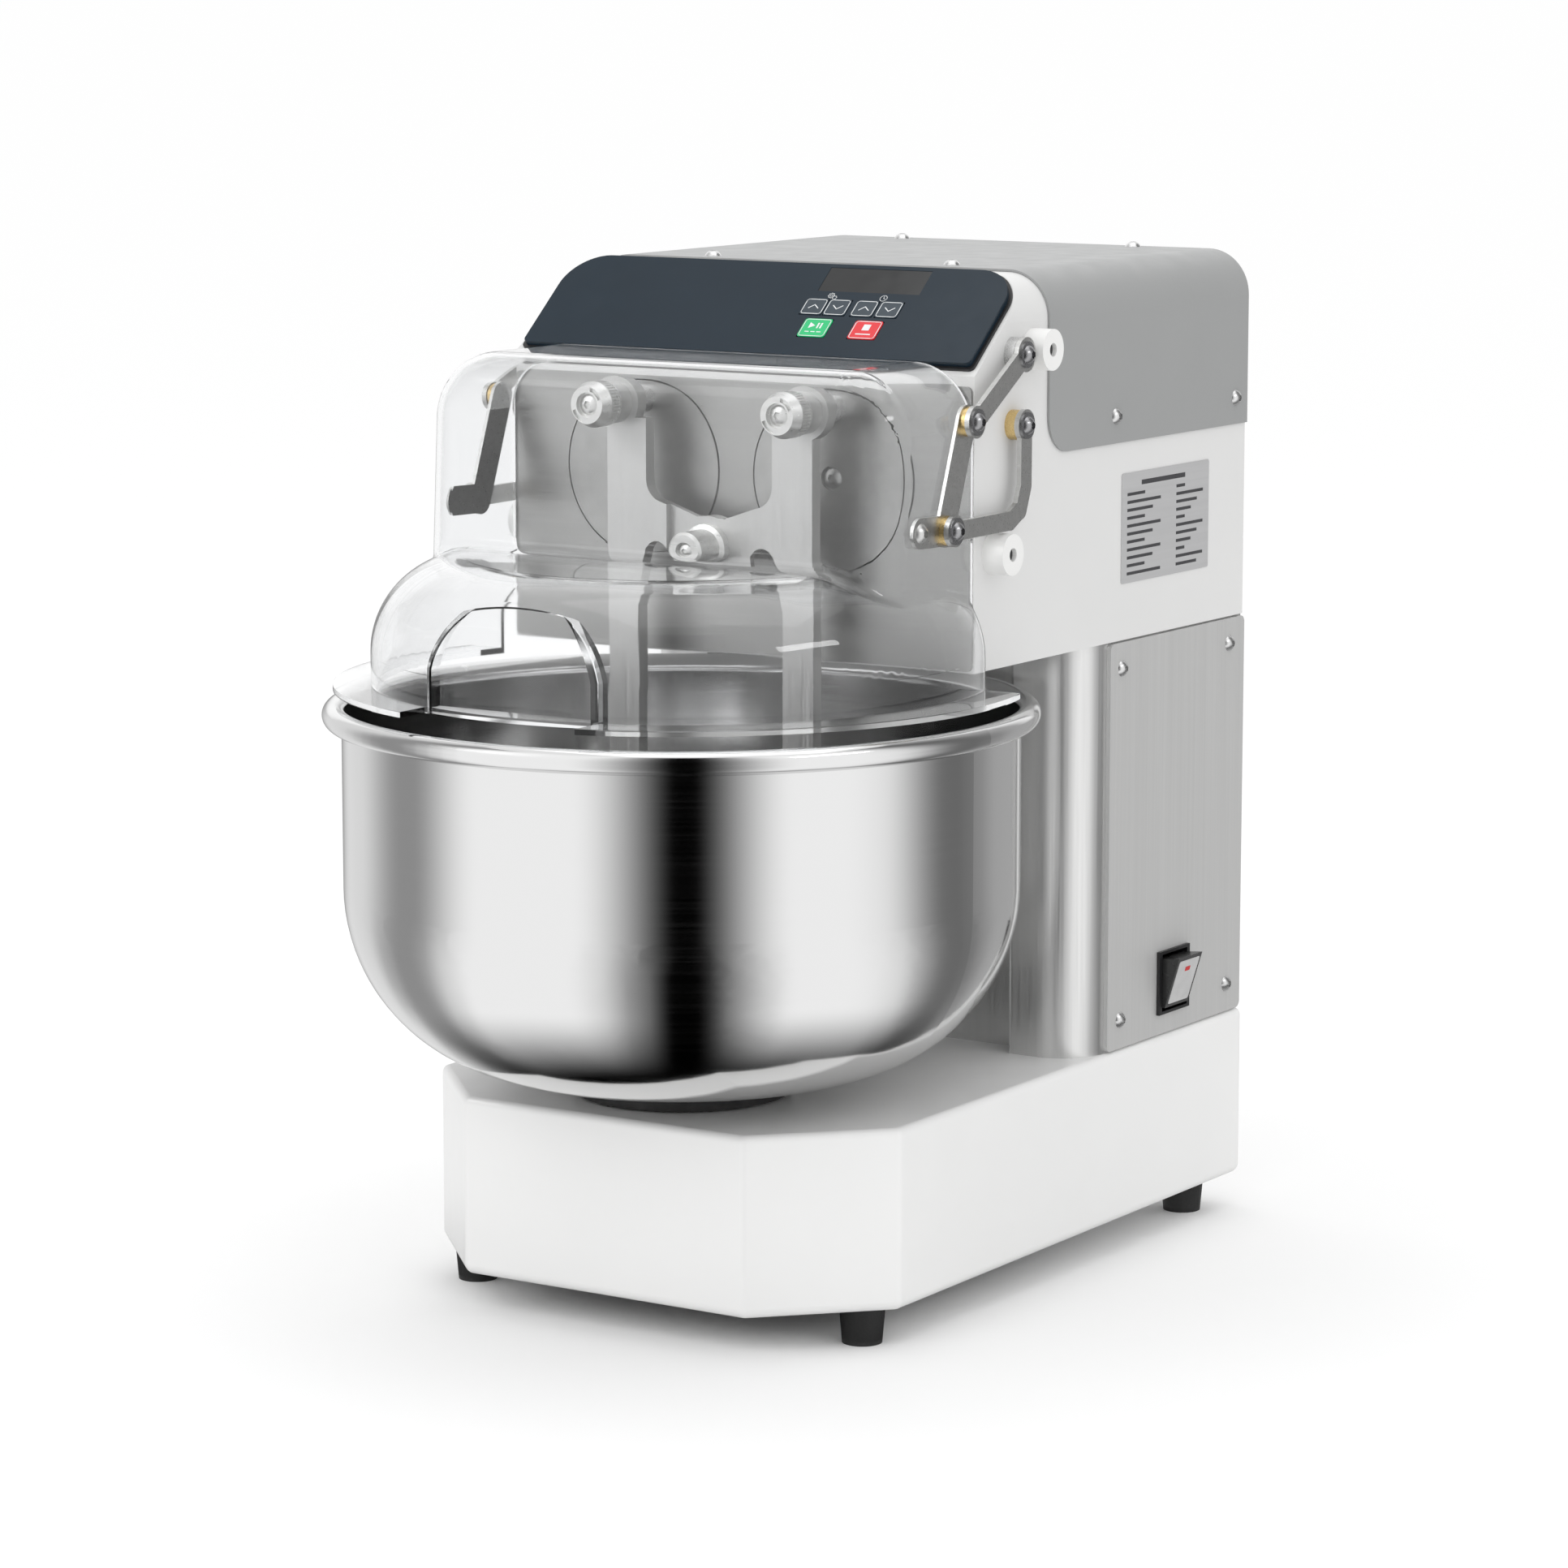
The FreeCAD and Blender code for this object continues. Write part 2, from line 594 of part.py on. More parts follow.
def make_head():
    outer = head_block("head_outer", "0", "head_low", "head_front", "head_back")
    room = head_block("head_room", "head_wall", "head_low + head_wall",
                      "head_front + head_wall", "head_back - head_wall")
    inner = cut(room, slant_tool(size("head_wall")))
    shell = cut(cut(outer, slant_tool(0)), inner)
    to_column = box(("-130", "126", "head_low - 5"), ("260", "130", "20"))
    to_arms = box(("-113", "head_front - 1", "crank_level - 52"), ("226", "6", "102.5"))
    node(cut(shell, to_column, to_arms), "head_housing")

    plate = body("front_plate_body")
    face = sketch(plate, "XZ_Plane", "-head_front")
    rectangle(face, ("-head_half + 1", "head_low + 1"), ("head_half - 1", "front_plate_top"))
    pad(plate, face, "front_plate_thick")
    round_edges(plate, "3", lambda edge: runs_along(edge, Y_AXIS))
    holes = sketch(plate, "XZ_Plane", "-head_front", "crank_holes")
    for x in ("-crank_across", "crank_across"):
        circle(holes, (x, "crank_level"), "crank_disc_radius + 0.9")
    pocket(plate, holes, "front_plate_thick", backward=True)
    node(plate, "head_front_plate")

    skin = head_block("cover_outer", "-cover_gap - cover_wall", "cover_low", "cover_front",
                      "head_back + 0.2")
    under = head_block("cover_room", "-cover_gap", "cover_low - 5", "cover_front - 5",
                       "head_back + 5")
    holes = [cylinder((str(side * x), str(y), "head_top - 5"), "2.7", "20")
             for side in (-1, 1) for x, y in COVER_TOP_SCREWS]
    holes += [cylinder(("-160", str(y), str(z)), "2.7", "320", "x") for y, z in COVER_SIDE_SCREWS]
    wrap = cut(skin, under, *holes)
    node(rounded(wrap, size("cover_corner"), lambda edge: runs_along(edge, X_AXIS)
                 and edge_at(edge, y=size("cover_front"), z=size("cover_low"))), "top_cover")

    label = box(("head_half", "plate_front", "plate_low"),
                ("0.5", "plate_back - plate_front", "plate_top - plate_low"))
    node(rounded(label, 1.5, lambda edge: runs_along(edge, X_AXIS)), "rating_plate")


# ---------------------------------------------------------------- control panel
ARROW_KEYS = (("key_speed_up", 29.4), ("key_speed_down", 44),
              ("key_time_up", 61), ("key_time_down", 76.4))
MAIN_KEYS = (("key_start_pause", 37.6), ("key_stop", 69))


def key_sizes():
    """Every key as name, place across, place up the slope, width and height."""
    for name, across in ARROW_KEYS:
        yield name, across, "arrow_key_row", "arrow_key_wide", "arrow_key_tall"
    for name, across in MAIN_KEYS:
        yield name, across, "main_key_row", "main_key_wide", "main_key_tall"


def key_outline(item, across, up, wide, tall, grow="0"):
    half_wide = "(%s/2 + %s)" % (wide, grow)
    half_tall = "(%s/2 + %s)" % (tall, grow)
    return rectangle(item, ("%s - %s" % (across, half_wide), "%s - %s" % (up, half_tall)),
                     ("%s + %s" % (across, half_wide), "%s + %s" % (up, half_tall)))


def panel_plate(name, grow, low, thick):
    """A plate on the slope whose upper corners follow the head's rounding."""
    plate = body(name)
    face = sketch(plate, "XY_Plane", low)
    rectangle(face, ("-panel_half - %s" % grow, "panel_low - %s" % grow),
              ("panel_half + %s" % grow, "panel_top + %s" % grow))
    pad(plate, face, thick)
    upper = size("panel_top") - 1
    round_edges(plate, "panel_round + %s" % grow,
                lambda edge: runs_along(edge, Z_AXIS) and edge.Vertexes[0].Y > upper)
    round_edges(plate, "3", lambda edge: runs_along(edge, Z_AXIS)
                and edge.Vertexes[0].Y < 10)
    return plate


def make_control_panel():
    bezel = panel_plate("bezel_body", "1.6", "0", "bezel_thick")
    node(bezel, "control_bezel")
    bezel.Placement = slope_placement()

    glass = panel_plate("panel_body", "0", "bezel_thick", "panel_thick")
    holes = sketch(glass, "XY_Plane", "bezel_thick", "key_holes")
    for _, across, up, wide, tall in key_sizes():
        key_outline(holes, across, up, wide, tall, "key_gap")
    rectangle(holes, ("25.5", "53.6"), ("89", "71.8"))
    pocket(glass, holes, "panel_thick", backward=True)
    node(glass, "control_panel")
    glass.Placement = slope_placement()

    window = body("window_body")
    pad(window, rectangle(sketch(window, "XY_Plane", "bezel_thick"),
                          ("25.6", "53.7"), ("88.9", "71.7")), "panel_thick - 0.15")
    node(window, "display_window")
    window.Placement = slope_placement()

    for name, across, up, wide, tall in key_sizes():
        key = body(name + "_body")
        face = sketch(key, "XY_Plane", "bezel_thick + 0.2 + key_travel")
        key_outline(face, across, up, wide, tall)
        pad(key, face, "panel_thick - key_travel + 0.2")
        round_edges(key, "1.5", lambda edge: runs_along(edge, Z_AXIS))
        node(key, name)
        key.Placement = slope_placement()

    board = box(("-10", "12", "-8"), ("115", "58", "1.6"))
    cable_socket = box(("-8", "30", "-14"), ("8", "22", "6"))
    chip = box(("50", "30", "-11"), ("18", "18", "3"))
    standoffs = [cylinder((x, y, "-8"), "2.5", "8 - head_wall")
                 for x in ("-6", "100") for y in ("16", "66")]
    assembly = fuse(board, cable_socket, chip, *standoffs)
    node(assembly, "control_board")
    assembly.Placement = slope_placement()


# ---------------------------------------------------------------- arm drive
def make_arm_drive():
    plate = box(("-head_half + head_wall", "gear_plate_front", "375"),
                ("2*(head_half - head_wall)", "gear_plate_thick", "120"))
    holes = [cylinder((x, "gear_plate_front - 5", "crank_level"), "bearing_radius", "30", "y")
             for x in ("-crank_across", "crank_across")]
    node(cut(plate, *holes), "gear_plate")

    rings = [cut(cylinder((x, "gear_plate_front", "crank_level"), "bearing_radius", "12", "y"),
                 cylinder((x, "gear_plate_front - 5", "crank_level"),
                          "crank_shaft_radius + running_gap", "30", "y"))
             for x in ("-crank_across", "crank_across")]
    node(group(*rings), "crank_bearings")

    case = box(("-55", "gear_front + gear_thick + 6", "crank_level - 58"), ("110", "62", "116"))
    neck = [box((x, "gear_plate_front + gear_plate_thick", "crank_level - 56"),
                ("12", "gear_front + gear_thick + 6 - gear_plate_front - gear_plate_thick", "6"))
            for x in ("-55", "43")]
    motor = cylinder(("0", "gear_front + gear_thick + 68", "crank_level"), "54", "150", "y")
    bore = cylinder(("0", "gear_front", "crank_level"), "pinion_shaft_radius + running_gap",
                    "60", "y")
    fins = [cylinder(("0", 110 + 12 * k, "crank_level"), "57", "5", "y") for k in range(9)]
    body_case = rounded(case, 8, lambda edge: runs_along(edge, Y_AXIS))
    node(cut(fuse(body_case, motor, *neck, *fins), bore), "arm_gearmotor")

    front = size("gear_front")
    level = size("crank_level")
    module = size("gear_module")
    teeth, pinion_teeth = int(size("gear_teeth")), int(size("pinion_teeth"))
    for side, name in ((-1, "left"), (1, "right")):
        across = side * size("crank_across")
        centre_x = "%d*crank_across" % side
        disc_front = "crank_disc_front"
        disc = cylinder((centre_x, disc_front, "crank_level"), "crank_disc_radius",
                        "crank_disc_thick", "y")
        recess = cylinder((centre_x, disc_front, "crank_level"), "6.4", "1.6", "y")
        seat = cylinder((centre_x, disc_front, "crank_level + crank_throw"),
                        "crank_pin_radius", "crank_disc_thick", "y")
        seat_depth = size("crank_disc_front") + 1.6
        screw = solid(placed(button_head(5.6, 1.8), (across, seat_depth, level), (0, -1, 0)),
                      "centre_screw_" + name)
        node(group(cut(disc, recess, seat), screw), "crank_disc_" + name)

        pin = cylinder((centre_x, "boss_front - 0.4", "crank_level + crank_throw"),
                       "crank_pin_radius", "crank_disc_front + crank_disc_thick"
                       " - boss_front + 0.4", "y")
        node(pin, "crank_pin_" + name)

        gear = involute_gear(teeth, module, size("gear_thick"), 0.16)
        gear.rotate(Vector(), Z_AXIS, 180.0 / teeth)
        shaft_start = size("crank_disc_front") + size("crank_disc_thick")
        shaft = Part.makeCylinder(size("crank_shaft_radius"), front - shaft_start
                                  + size("gear_thick") + 3)
        shaft.translate(Vector(0, 0, shaft_start - front))
        wheel = gear.fuse(shaft).removeSplitter()
        node(solid(wheel, "crank_wheel_" + name, Placement(
            Vector(across, front, level), Rotation(X_AXIS, -90))), "crank_gear_" + name)

        knob_back = size("boss_front") - 0.4
        knob_front = size("knob_front")
        node(solid(knurled_knob(knob_back - knob_front), "knob_" + name, Placement(
            Vector(across, knob_back, level + size("crank_throw")),
            Rotation(X_AXIS, 90))), "arm_knob_" + name)

    pinion = involute_gear(pinion_teeth, module, size("gear_thick"), 0.16)
    shaft = Part.makeCylinder(size("pinion_shaft_radius"), size("gear_thick") + 40)
    node(solid(pinion.fuse(shaft).removeSplitter(), "pinion_wheel", Placement(
        Vector(0, front, level), Rotation(X_AXIS, -90))), "drive_pinion")


def knurled_knob(long):
    """The thumb nut at the end of a crank pin: knurled at the back, dished in front."""
    radius = size("knob_radius")
    outline = [(0, 0), (radius, 0), (radius, long - 6), (radius - 2.4, long),
               (6.6, long), (6.6, long - 2.4), (0, long - 2.4)]
    knob = revolved(outline)
    cutters = []
    for k in range(40):
        groove = Part.makeCylinder(0.55, long - 8.2, Vector(radius + 0.1, 0, 1))
        groove.rotate(Vector(), Z_AXIS, 9 * k)
        cutters.append(groove)
    for start in (20, 200):
        ring = Part.makeCylinder(9.6, 2, Vector(0, 0, long - 1.5), Z_AXIS, 55)
        ring = ring.cut(Part.makeCylinder(7.6, 4, Vector(0, 0, long - 2)))
        ring.rotate(Vector(), Z_AXIS, start)
        cutters.append(ring)
    screw = button_head(5.6, 2)
    screw.translate(Vector(0, 0, long - 2.4))
    return knob.cut(Part.makeCompound(cutters)).fuse(screw)


# ---------------------------------------------------------------- mixing arms
def arm_plate(front, back):
    """One arm seen from the front, right-hand side, between two depths."""
    pin_x, pin_z = size("crank_across"), size("crank_level") + size("crank_throw")
    inner, outer = size("leg_inner"), size("leg_outer")
    blade, joint = size("blade_inner"), size("joint_level")
    lug = size("joint_eye")
    bend, radius = size("finger_level"), size("finger_radius")
    sweep = math.radians(size("finger_sweep"))
    thin = radius - (outer - blade)
    centre = Vector(outer - radius, 0, bend)

    def at(x, z):
        return Vector(x, 0, z)

    def finger(length, turn):
        return centre + Vector(length * math.cos(turn), 0, -length * math.sin(turn))

    notch = [at(inner, pin_z - 8), at(inner, joint + 34), at(inner - 10, joint + 22.6),
             at(9, joint + 15.5)]
    notch_round = Part.Arc(notch[1], at(inner - 3, joint + 26.5), notch[2]).toShape()
    underside = [at(9, joint - lug + 1), at(26, joint - lug + 1), at(26, joint - 6)]
    slot_middle = at((26 + inner + 1) / 2, joint + 1.5)
    down = [Part.makePolygon(notch[:2]), notch_round, Part.makePolygon(notch[2:])]
    ends = [Part.makePolygon([notch[-1], underside[0]]), Part.makePolygon(underside),
            Part.Arc(underside[-1], slot_middle, at(inner + 1, joint - 6)).toShape(),
            Part.makePolygon([at(inner + 1, joint - 6), at(blade, joint - 30),
                              at(blade, bend)]),
            Part.Arc(at(blade, bend), finger(thin, sweep / 2), finger(thin, sweep)).toShape(),
            Part.Arc(finger(thin, sweep), finger((thin + radius) / 2, sweep + 0.13),
                     finger(radius, sweep)).toShape(),
            Part.Arc(finger(radius, sweep), finger(radius, sweep / 2),
                     at(outer, bend)).toShape(),
            Part.makePolygon([at(outer, bend), at(outer, pin_z - 8),
                              at(inner, pin_z - 8)])]
    edges = [edge for wire in down + ends for edge in wire.Edges]
    blade_face = Part.Face(Part.Wire(Part.__sortEdges__(edges)))
    plate = blade_face.extrude(Vector(0, back - front, 0))
    eye = Part.makeCylinder(size("arm_eye"), back - front, Vector(pin_x, 0, pin_z), Y_AXIS)
    joint_eye = Part.makeCylinder(lug, back - front, Vector(0, 0, joint), Y_AXIS)
    bridge = Part.makeBox(9.5, back - front, 2 * lug - 2, Vector(0, 0, joint - lug + 1))
    arm = plate.fuse([eye, joint_eye, bridge]).removeSplitter()
    arm.translate(Vector(0, front, 0))
    return arm


def make_arms():
    front = size("arm_front")
    thick = size("arm_thick")
    back = front + thick
    pin_level = size("crank_level") + size("crank_throw")
    pin_hole = size("crank_pin_radius") + size("running_gap")
    half_lap = thick / 2 + 0.15
    lap_reach = 27
    level = size("joint_level")
    for side, name in ((-1, "left"), (1, "right")):
        arm = arm_plate(front, back)
        boss = Part.makeCylinder(size("boss_radius"), front - size("boss_front"),
                                 Vector(size("crank_across"), size("boss_front"), pin_level),
                                 Y_AXIS)
        hole = Part.makeCylinder(pin_hole, 60, Vector(size("crank_across"), -90, pin_level),
                                 Y_AXIS)
        arm = arm.fuse(boss).cut(hole)
        lap_start = front - 1 if side < 0 else back - half_lap
        lap = Part.makeBox(lap_reach + 40, half_lap + 1, 60,
                           Vector(-40, lap_start, level - 25))
        arm = arm.cut(lap)
        clearance = 0.35 if side < 0 else 0.02
        centre_hole = Part.makeCylinder(size("joint_pin_radius") + clearance, 40,
                                        Vector(0, front - 10, level), Y_AXIS)
        arm = arm.cut(centre_hole).removeSplitter()
        if side < 0:
            arm = arm.mirror(Vector(), X_AXIS)
        node(solid(arm, "arm_blank_" + name), "mixing_arm_" + name)

    pin = size("joint_pin_radius")
    tail = back + 0.6 - front
    outline = [(0, 22), (5.2, 22), (5.2, 24), (9, 24), (10.5, 22.5), (10.5, 5.5), (13, 4.5),
               (13, 0), (pin, 0), (pin, -tail), (9, -tail), (9, -tail - 3), (0, -tail - 3)]
    joint = revolved(outline).fuse(placed(button_screw(4.6, 1.6, 2, 0.5), (0, 0, 22),
                                          (0, 0, 1)))
    node(solid(joint, "joint_knob", Placement(Vector(0, front, level),
                                              Rotation(X_AXIS, 90))), "centre_knob")


# ---------------------------------------------------------------- guard
def guard_foot(inset):
    """The guard's lower end; its inner solid runs on below, so the cut goes through."""
    return size("lip_low") - (2 if inset > 0 else 0)


def dome_solid(inset):
    """The guard's round skirt, without its lip, as a solid about the bowl's axis."""
    radius = size("dome_radius") - inset
    bend = size("dome_round") - inset
    top = size("dome_top") - inset
    low = guard_foot(inset)
    lean = math.sin(math.pi / 4)
    middle = Vector(radius - bend, 0, top - bend)
    crown = Part.Arc(Vector(radius, 0, top - bend), middle + Vector(bend * lean, 0, bend * lean),
                     Vector(radius - bend, 0, top)).toShape()
    path = Part.makePolygon([Vector(radius - bend, 0, top), Vector(0, 0, top), Vector(0, 0, low),
                             Vector(radius, 0, low), Vector(radius, 0, top - bend)])
    face = Part.Face(Part.Wire(Part.__sortEdges__(path.Edges + [crown])))
    dome = face.revolve(Vector(), Z_AXIS, 360)
    dome.translate(Vector(0, size("bowl_axis_y"), 0))
    return dome


def window_solid(inset):
    """The guard's tall window, with a raked front and rounded top and corners."""
    half = size("guard_half") - inset
    top = size("guard_box_top") - inset
    low = guard_foot(inset)
    front_top = size("guard_box_front") + 8 + inset
    rake = 10 / (size("guard_box_top") - size("lip_low"))
    front_low = front_top - rake * (top - low)
    rear = size("guard_rear") + 16
    profile = Part.makePolygon([Vector(-half, front_low, low), Vector(-half, front_top, top),
                                Vector(-half, rear, top), Vector(-half, rear, low),
                                Vector(-half, front_low, low)])
    block = Part.Face(profile).extrude(Vector(2 * half, 0, 0))
    side_tops = [edge for edge in block.Edges if runs_along(edge, Y_AXIS)
                 and edge.Vertexes[0].Z > top - 1]
    block = block.makeFillet(size("guard_box_top_side") - inset, side_tops)
    front_outline = [edge for edge in block.Edges
                     if max(vertex.Y for vertex in edge.Vertexes) < front_top + 1
                     and max(vertex.Z for vertex in edge.Vertexes) > low + 1]
    return block.makeFillet(size("guard_box_brow") - inset, front_outline)


def recess_solid(grow):
    """The arch pressed into the front of the skirt, where dry goods are poured in."""
    half = size("recess_half") + grow
    low = size("lip_low") - 1
    crown = size("recess_top") + grow
    spring = crown - 0.8 * half
    front = size("recess_front") + grow
    arch = Part.Arc(Vector(half, 0, spring), Vector(0, 0, crown), Vector(-half, 0, spring))
    sides = Part.makePolygon([Vector(-half, 0, spring), Vector(-half, 0, low),
                              Vector(half, 0, low), Vector(half, 0, spring)])
    face = Part.Face(Part.Wire(Part.__sortEdges__(sides.Edges + [arch.toShape()])))
    tool = face.extrude(Vector(0, -60, 0))
    tool.translate(Vector(0, front, 0))
    return tool


def guard_solid(inset):
    """Window and skirt as one solid, with a concave bend where they meet."""
    rear = size("guard_rear") + (6 if inset > 0 else 2)
    kept = Part.makeBox(600, 400, 400, Vector(-300, rear - 400, 250))
    both = dome_solid(inset).common(kept).fuse(window_solid(inset).common(kept))
    both = both.removeSplitter()
    dome_top = size("dome_top") - inset
    seam = [edge for edge in both.Edges
            if edge.BoundBox.ZMin > dome_top - 33 and edge.BoundBox.ZMax < dome_top + 1
            and edge.BoundBox.YMin > size("guard_box_front") - 5
            and edge.BoundBox.YMin < rear - 1]
    return both.makeFillet(size("guard_blend") + inset, seam)


def make_guard():
    wall = size("guard_wall")
    low, thick = size("lip_low"), size("lip_thick")
    rear = size("guard_rear")
    outside, inside = guard_solid(0), guard_solid(wall)
    in_front = Part.makeBox(600, 400, 400, Vector(-300, rear - 400, 300))
    pressed, pressed_back = recess_solid(0), recess_solid(wall)
    skin = outside.cut(inside).common(in_front).cut(pressed)
    panel = pressed_back.cut(pressed).common(outside)

    axis = Vector(0, size("bowl_axis_y"), low)
    lip = Part.makeCylinder(size("lip_radius"), thick, axis)
    notch = Part.makeBox(2 * size("recess_half") + 8, 60, thick + 2,
                         Vector(-size("recess_half") - 4, -290, low - 1))
    kept = Part.makeCylinder(size("recess_lip_radius"), thick + 4, axis - Vector(0, 0, 2))
    lip = lip.cut(notch.cut(kept)).common(in_front)
    hole = inside.cut(pressed_back)
    shell = skin.fuse([panel, lip.cut(hole)]).removeSplitter()
    if len(shell.Solids) != 1 or not 3e5 < shell.Volume < 4.5e5:
        raise RuntimeError("the guard is not one thin solid")
    node(solid(shell, "guard_blank"), "bowl_guard")


PIVOTS = {
    "upper": ("upper_pivot_y", "upper_pivot_z"), "lower": ("lower_pivot_y", "lower_pivot_z"),
    "high": ("guard_high_y", "guard_high_z"), "low": ("guard_low_y", "guard_low_z"),
    "end": ("bracket_end_y", "bracket_end_z"),
}


def pivot(name):
    return tuple(size(alias) for alias in PIVOTS[name])


def side_disc(side, start, long, radius, where):
    """A round piece along X, standing out from one side of the machine."""
    first = "%s" % start if side > 0 else "-(%s) - (%s)" % (start, long)
    return cylinder((first,) + tuple(where), radius, long, "x")


def strip(start, end, width, depth, low):
    """A flat bar with round ends, drawn in the YZ plane from x = low."""
    run = Vector(0, end[0] - start[0], end[1] - start[1])
    ends = [Part.makeCylinder(width / 2, depth, Vector(low, *point), X_AXIS)
            for point in (start, end)]
    across = Vector(0, -run.z, run.y).normalize() * (width / 2)
    first = Vector(low, *start)
    corners = [first + across, first + run + across, first + run - across, first - across]
    bar = Part.Face(Part.makePolygon(corners + corners[:1])).extrude(Vector(depth, 0, 0))
    return bar.fuse(ends)


def holed(shape, radius, low, depth, *points):
    holes = [Part.makeCylinder(radius, depth + 2, Vector(low - 1, *point), X_AXIS)
             for point in points]
    return shape.cut(holes).removeSplitter()


def both_sides(shape):
    return [shape.mirror(Vector(), X_AXIS), shape]


def make_linkage():
    low, thick = size("link_plane"), size("link_thick")
    upper, lower = pivot("upper"), pivot("lower")
    high, near, end = pivot("high"), pivot("low"), pivot("end")
    pin_radius = size("link_pin_radius")

    bar = strip(upper, high, 11.5, thick, low)
    eye = Part.makeCylinder(9.2, thick, Vector(low, *upper), X_AXIS)
    high_eye = Part.makeCylinder(8.5, thick, Vector(low, *high), X_AXIS)
    upper_link = holed(bar.fuse([eye, high_eye]), pin_radius, low, thick, upper, high)

    knee = (lower[0] + 0.5, near[1] + 1.5)
    down = strip(lower, (lower[0] - 0.2, knee[1] + 16), 11, thick, low)
    forward = strip((knee[0] - 16, knee[1] - 1.2), near, 10, thick, low)
    bend = strip((lower[0] - 0.2, knee[1] + 16), (knee[0] - 5.5, knee[1] + 4), 11, thick, low)
    turn = strip((knee[0] - 5.5, knee[1] + 4), (knee[0] - 16, knee[1] - 1.2), 10.4, thick, low)
    lower_eye = Part.makeCylinder(8.5, thick, Vector(low, *lower), X_AXIS)
    near_eye = Part.makeCylinder(8.2, thick, Vector(low, *near), X_AXIS)
    lower_link = holed(down.fuse([bend, turn, forward, lower_eye, near_eye]), pin_radius,
                       low, thick, lower, near)
    for shape, label in ((upper_link, "guard_upper_link_"), (lower_link, "guard_lower_link_")):
        for one, name in zip(both_sides(shape), ("left", "right")):
            node(solid(one, "link_blank"), label + name)

    washer_thick = 0.9
    washer = Part.makeCylinder(7, washer_thick).cut(Part.makeCylinder(pin_radius, 2))

    def pivot_screws(point, reach):
        """A washer and a screw on each side, the screw reaching in past the link."""
        screw = button_screw(5, 3.4, pin_radius, washer_thick + thick + reach)
        screw.translate(Vector(0, 0, washer_thick))
        stack = Part.makeCompound([screw, washer])
        return both_sides(placed(stack, (low + thick,) + point, (1, 0, 0)))

    into_bearing, open_pivot = 2.9, 0
    node(solid(Part.makeCompound(pivot_screws(upper, into_bearing)
                                 + pivot_screws(high, into_bearing)), "upper_screws"),
         "upper_link_screws")
    node(solid(Part.makeCompound(pivot_screws(lower, into_bearing)
                                 + pivot_screws(near, open_pivot)), "lower_screws"),
         "lower_link_screws")

    face, plate = size("guard_half"), size("bracket_thick")
    bracket = strip(high, near, 17.5, plate, face).fuse(strip(near, end, 16, plate, face))
    bracket = bracket.removeSplitter()
    end_screw = placed(button_head(5.2, 3.2), (face + plate,) + end, (1, 0, 0))
    node(solid(Part.makeCompound(both_sides(bracket.fuse(end_screw))), "brackets"),
         "guard_brackets")
    bush_start = face + plate
    bush_long = low - size("link_gap") - bush_start
    bore = pin_radius + size("running_gap")
    bushes = []
    for point in (high, near):
        bush = Part.makeCylinder(7.8, bush_long, Vector(bush_start, *point), X_AXIS)
        bushes += both_sides(holed(bush, bore, bush_start, bush_long, point))
    node(solid(Part.makeCompound(bushes), "bushes"), "guard_bushes")

    start = "head_half"
    for label, name, radius in (("link_spacers_steel", "upper", "9"),
                                ("link_spacers_brass", "lower", "8")):
        rings = []
        for side in (-1, 1):
            outer = side_disc(side, start, "link_plane - link_gap - head_half", radius,
                              PIVOTS[name])
            hole = side_disc(side, "link_plane - 3.2", "4", "link_pin_radius + running_gap",
                             PIVOTS[name])
            rings.append(cut(outer, hole))
        node(group(*rings), label)

    stops, stop_screws = [], []
    for side in (-1, 1):
        for where in (("stop_low_y", "stop_low_z"), ("stop_high_y", "stop_high_z")):
            outer = side_disc(side, start, "stop_long", "stop_radius", where)
            bore = side_disc(side, start, "stop_long + 1", "3.6", where)
            stops.append(cut(outer, bore))
            stop_screws.append(side_disc(side, start, "stop_long - 2.5", "3.5", where))
    node(group(*stops), "nylon_stops")
    node(group(*stop_screws), "stop_screws")


# ---------------------------------------------------------------- switch
def make_switch():
    face = "column_half + side_panel_thick"
    flange = box((face, "switch_front", "switch_low"),
                 ("2", "switch_back - switch_front", "switch_top - switch_low"))
    barrel = box((face + " - 24", "switch_front + 1.5", "switch_low + 0.9"),
                 ("24", "switch_back - switch_front - 3", "switch_top - switch_low - 1.8"))
    room = box((face + " - 20", "switch_front + 3", "switch_low + 1.7"),
               ("30", "switch_back - switch_front - 6", "switch_top - switch_low - 3.4"))
    node(cut(fuse(flange, barrel), room), "switch_housing")

    rocker = body("rocker_body")
    side_view = sketch(rocker, "XZ_Plane", "-switch_back + 4")
    x, z = "rocker_axis_x", "rocker_axis_z"
    polygon(side_view, [(x + " - 6", z + " - 8"), (x + " + 2.2", z + " - 14.2"),
                        (x + " + 3.6", z + " - 14.2"), (x + " + 12.5", z + " + 14.8"),
                        (x + " - 1", z + " + 13.6"), (x + " - 6", z + " + 8")])
    pad(rocker, side_view, "switch_back - switch_front - 8")
    node(rocker, "switch_rocker")


make_base()
make_bowl()
make_bowl_drive()
make_column()
make_casing_screws()
make_head()
make_control_panel()
make_arm_drive()
make_arms()
make_guard()
make_linkage()
make_switch()
doc.recompute()

# ---------------------------------------------------------------- checks and export
for item in doc.Objects:
    if "Invalid" in item.State or "Error" in item.State:
        raise RuntimeError("%s (%s) did not compute: %s" % (item.Name, item.Label, item.State))
for item in nodes:
    if item.Shape.isNull() or not item.Shape.isValid() or not item.Shape.Solids:
        raise RuntimeError("%s has no valid solid" % item.Label)

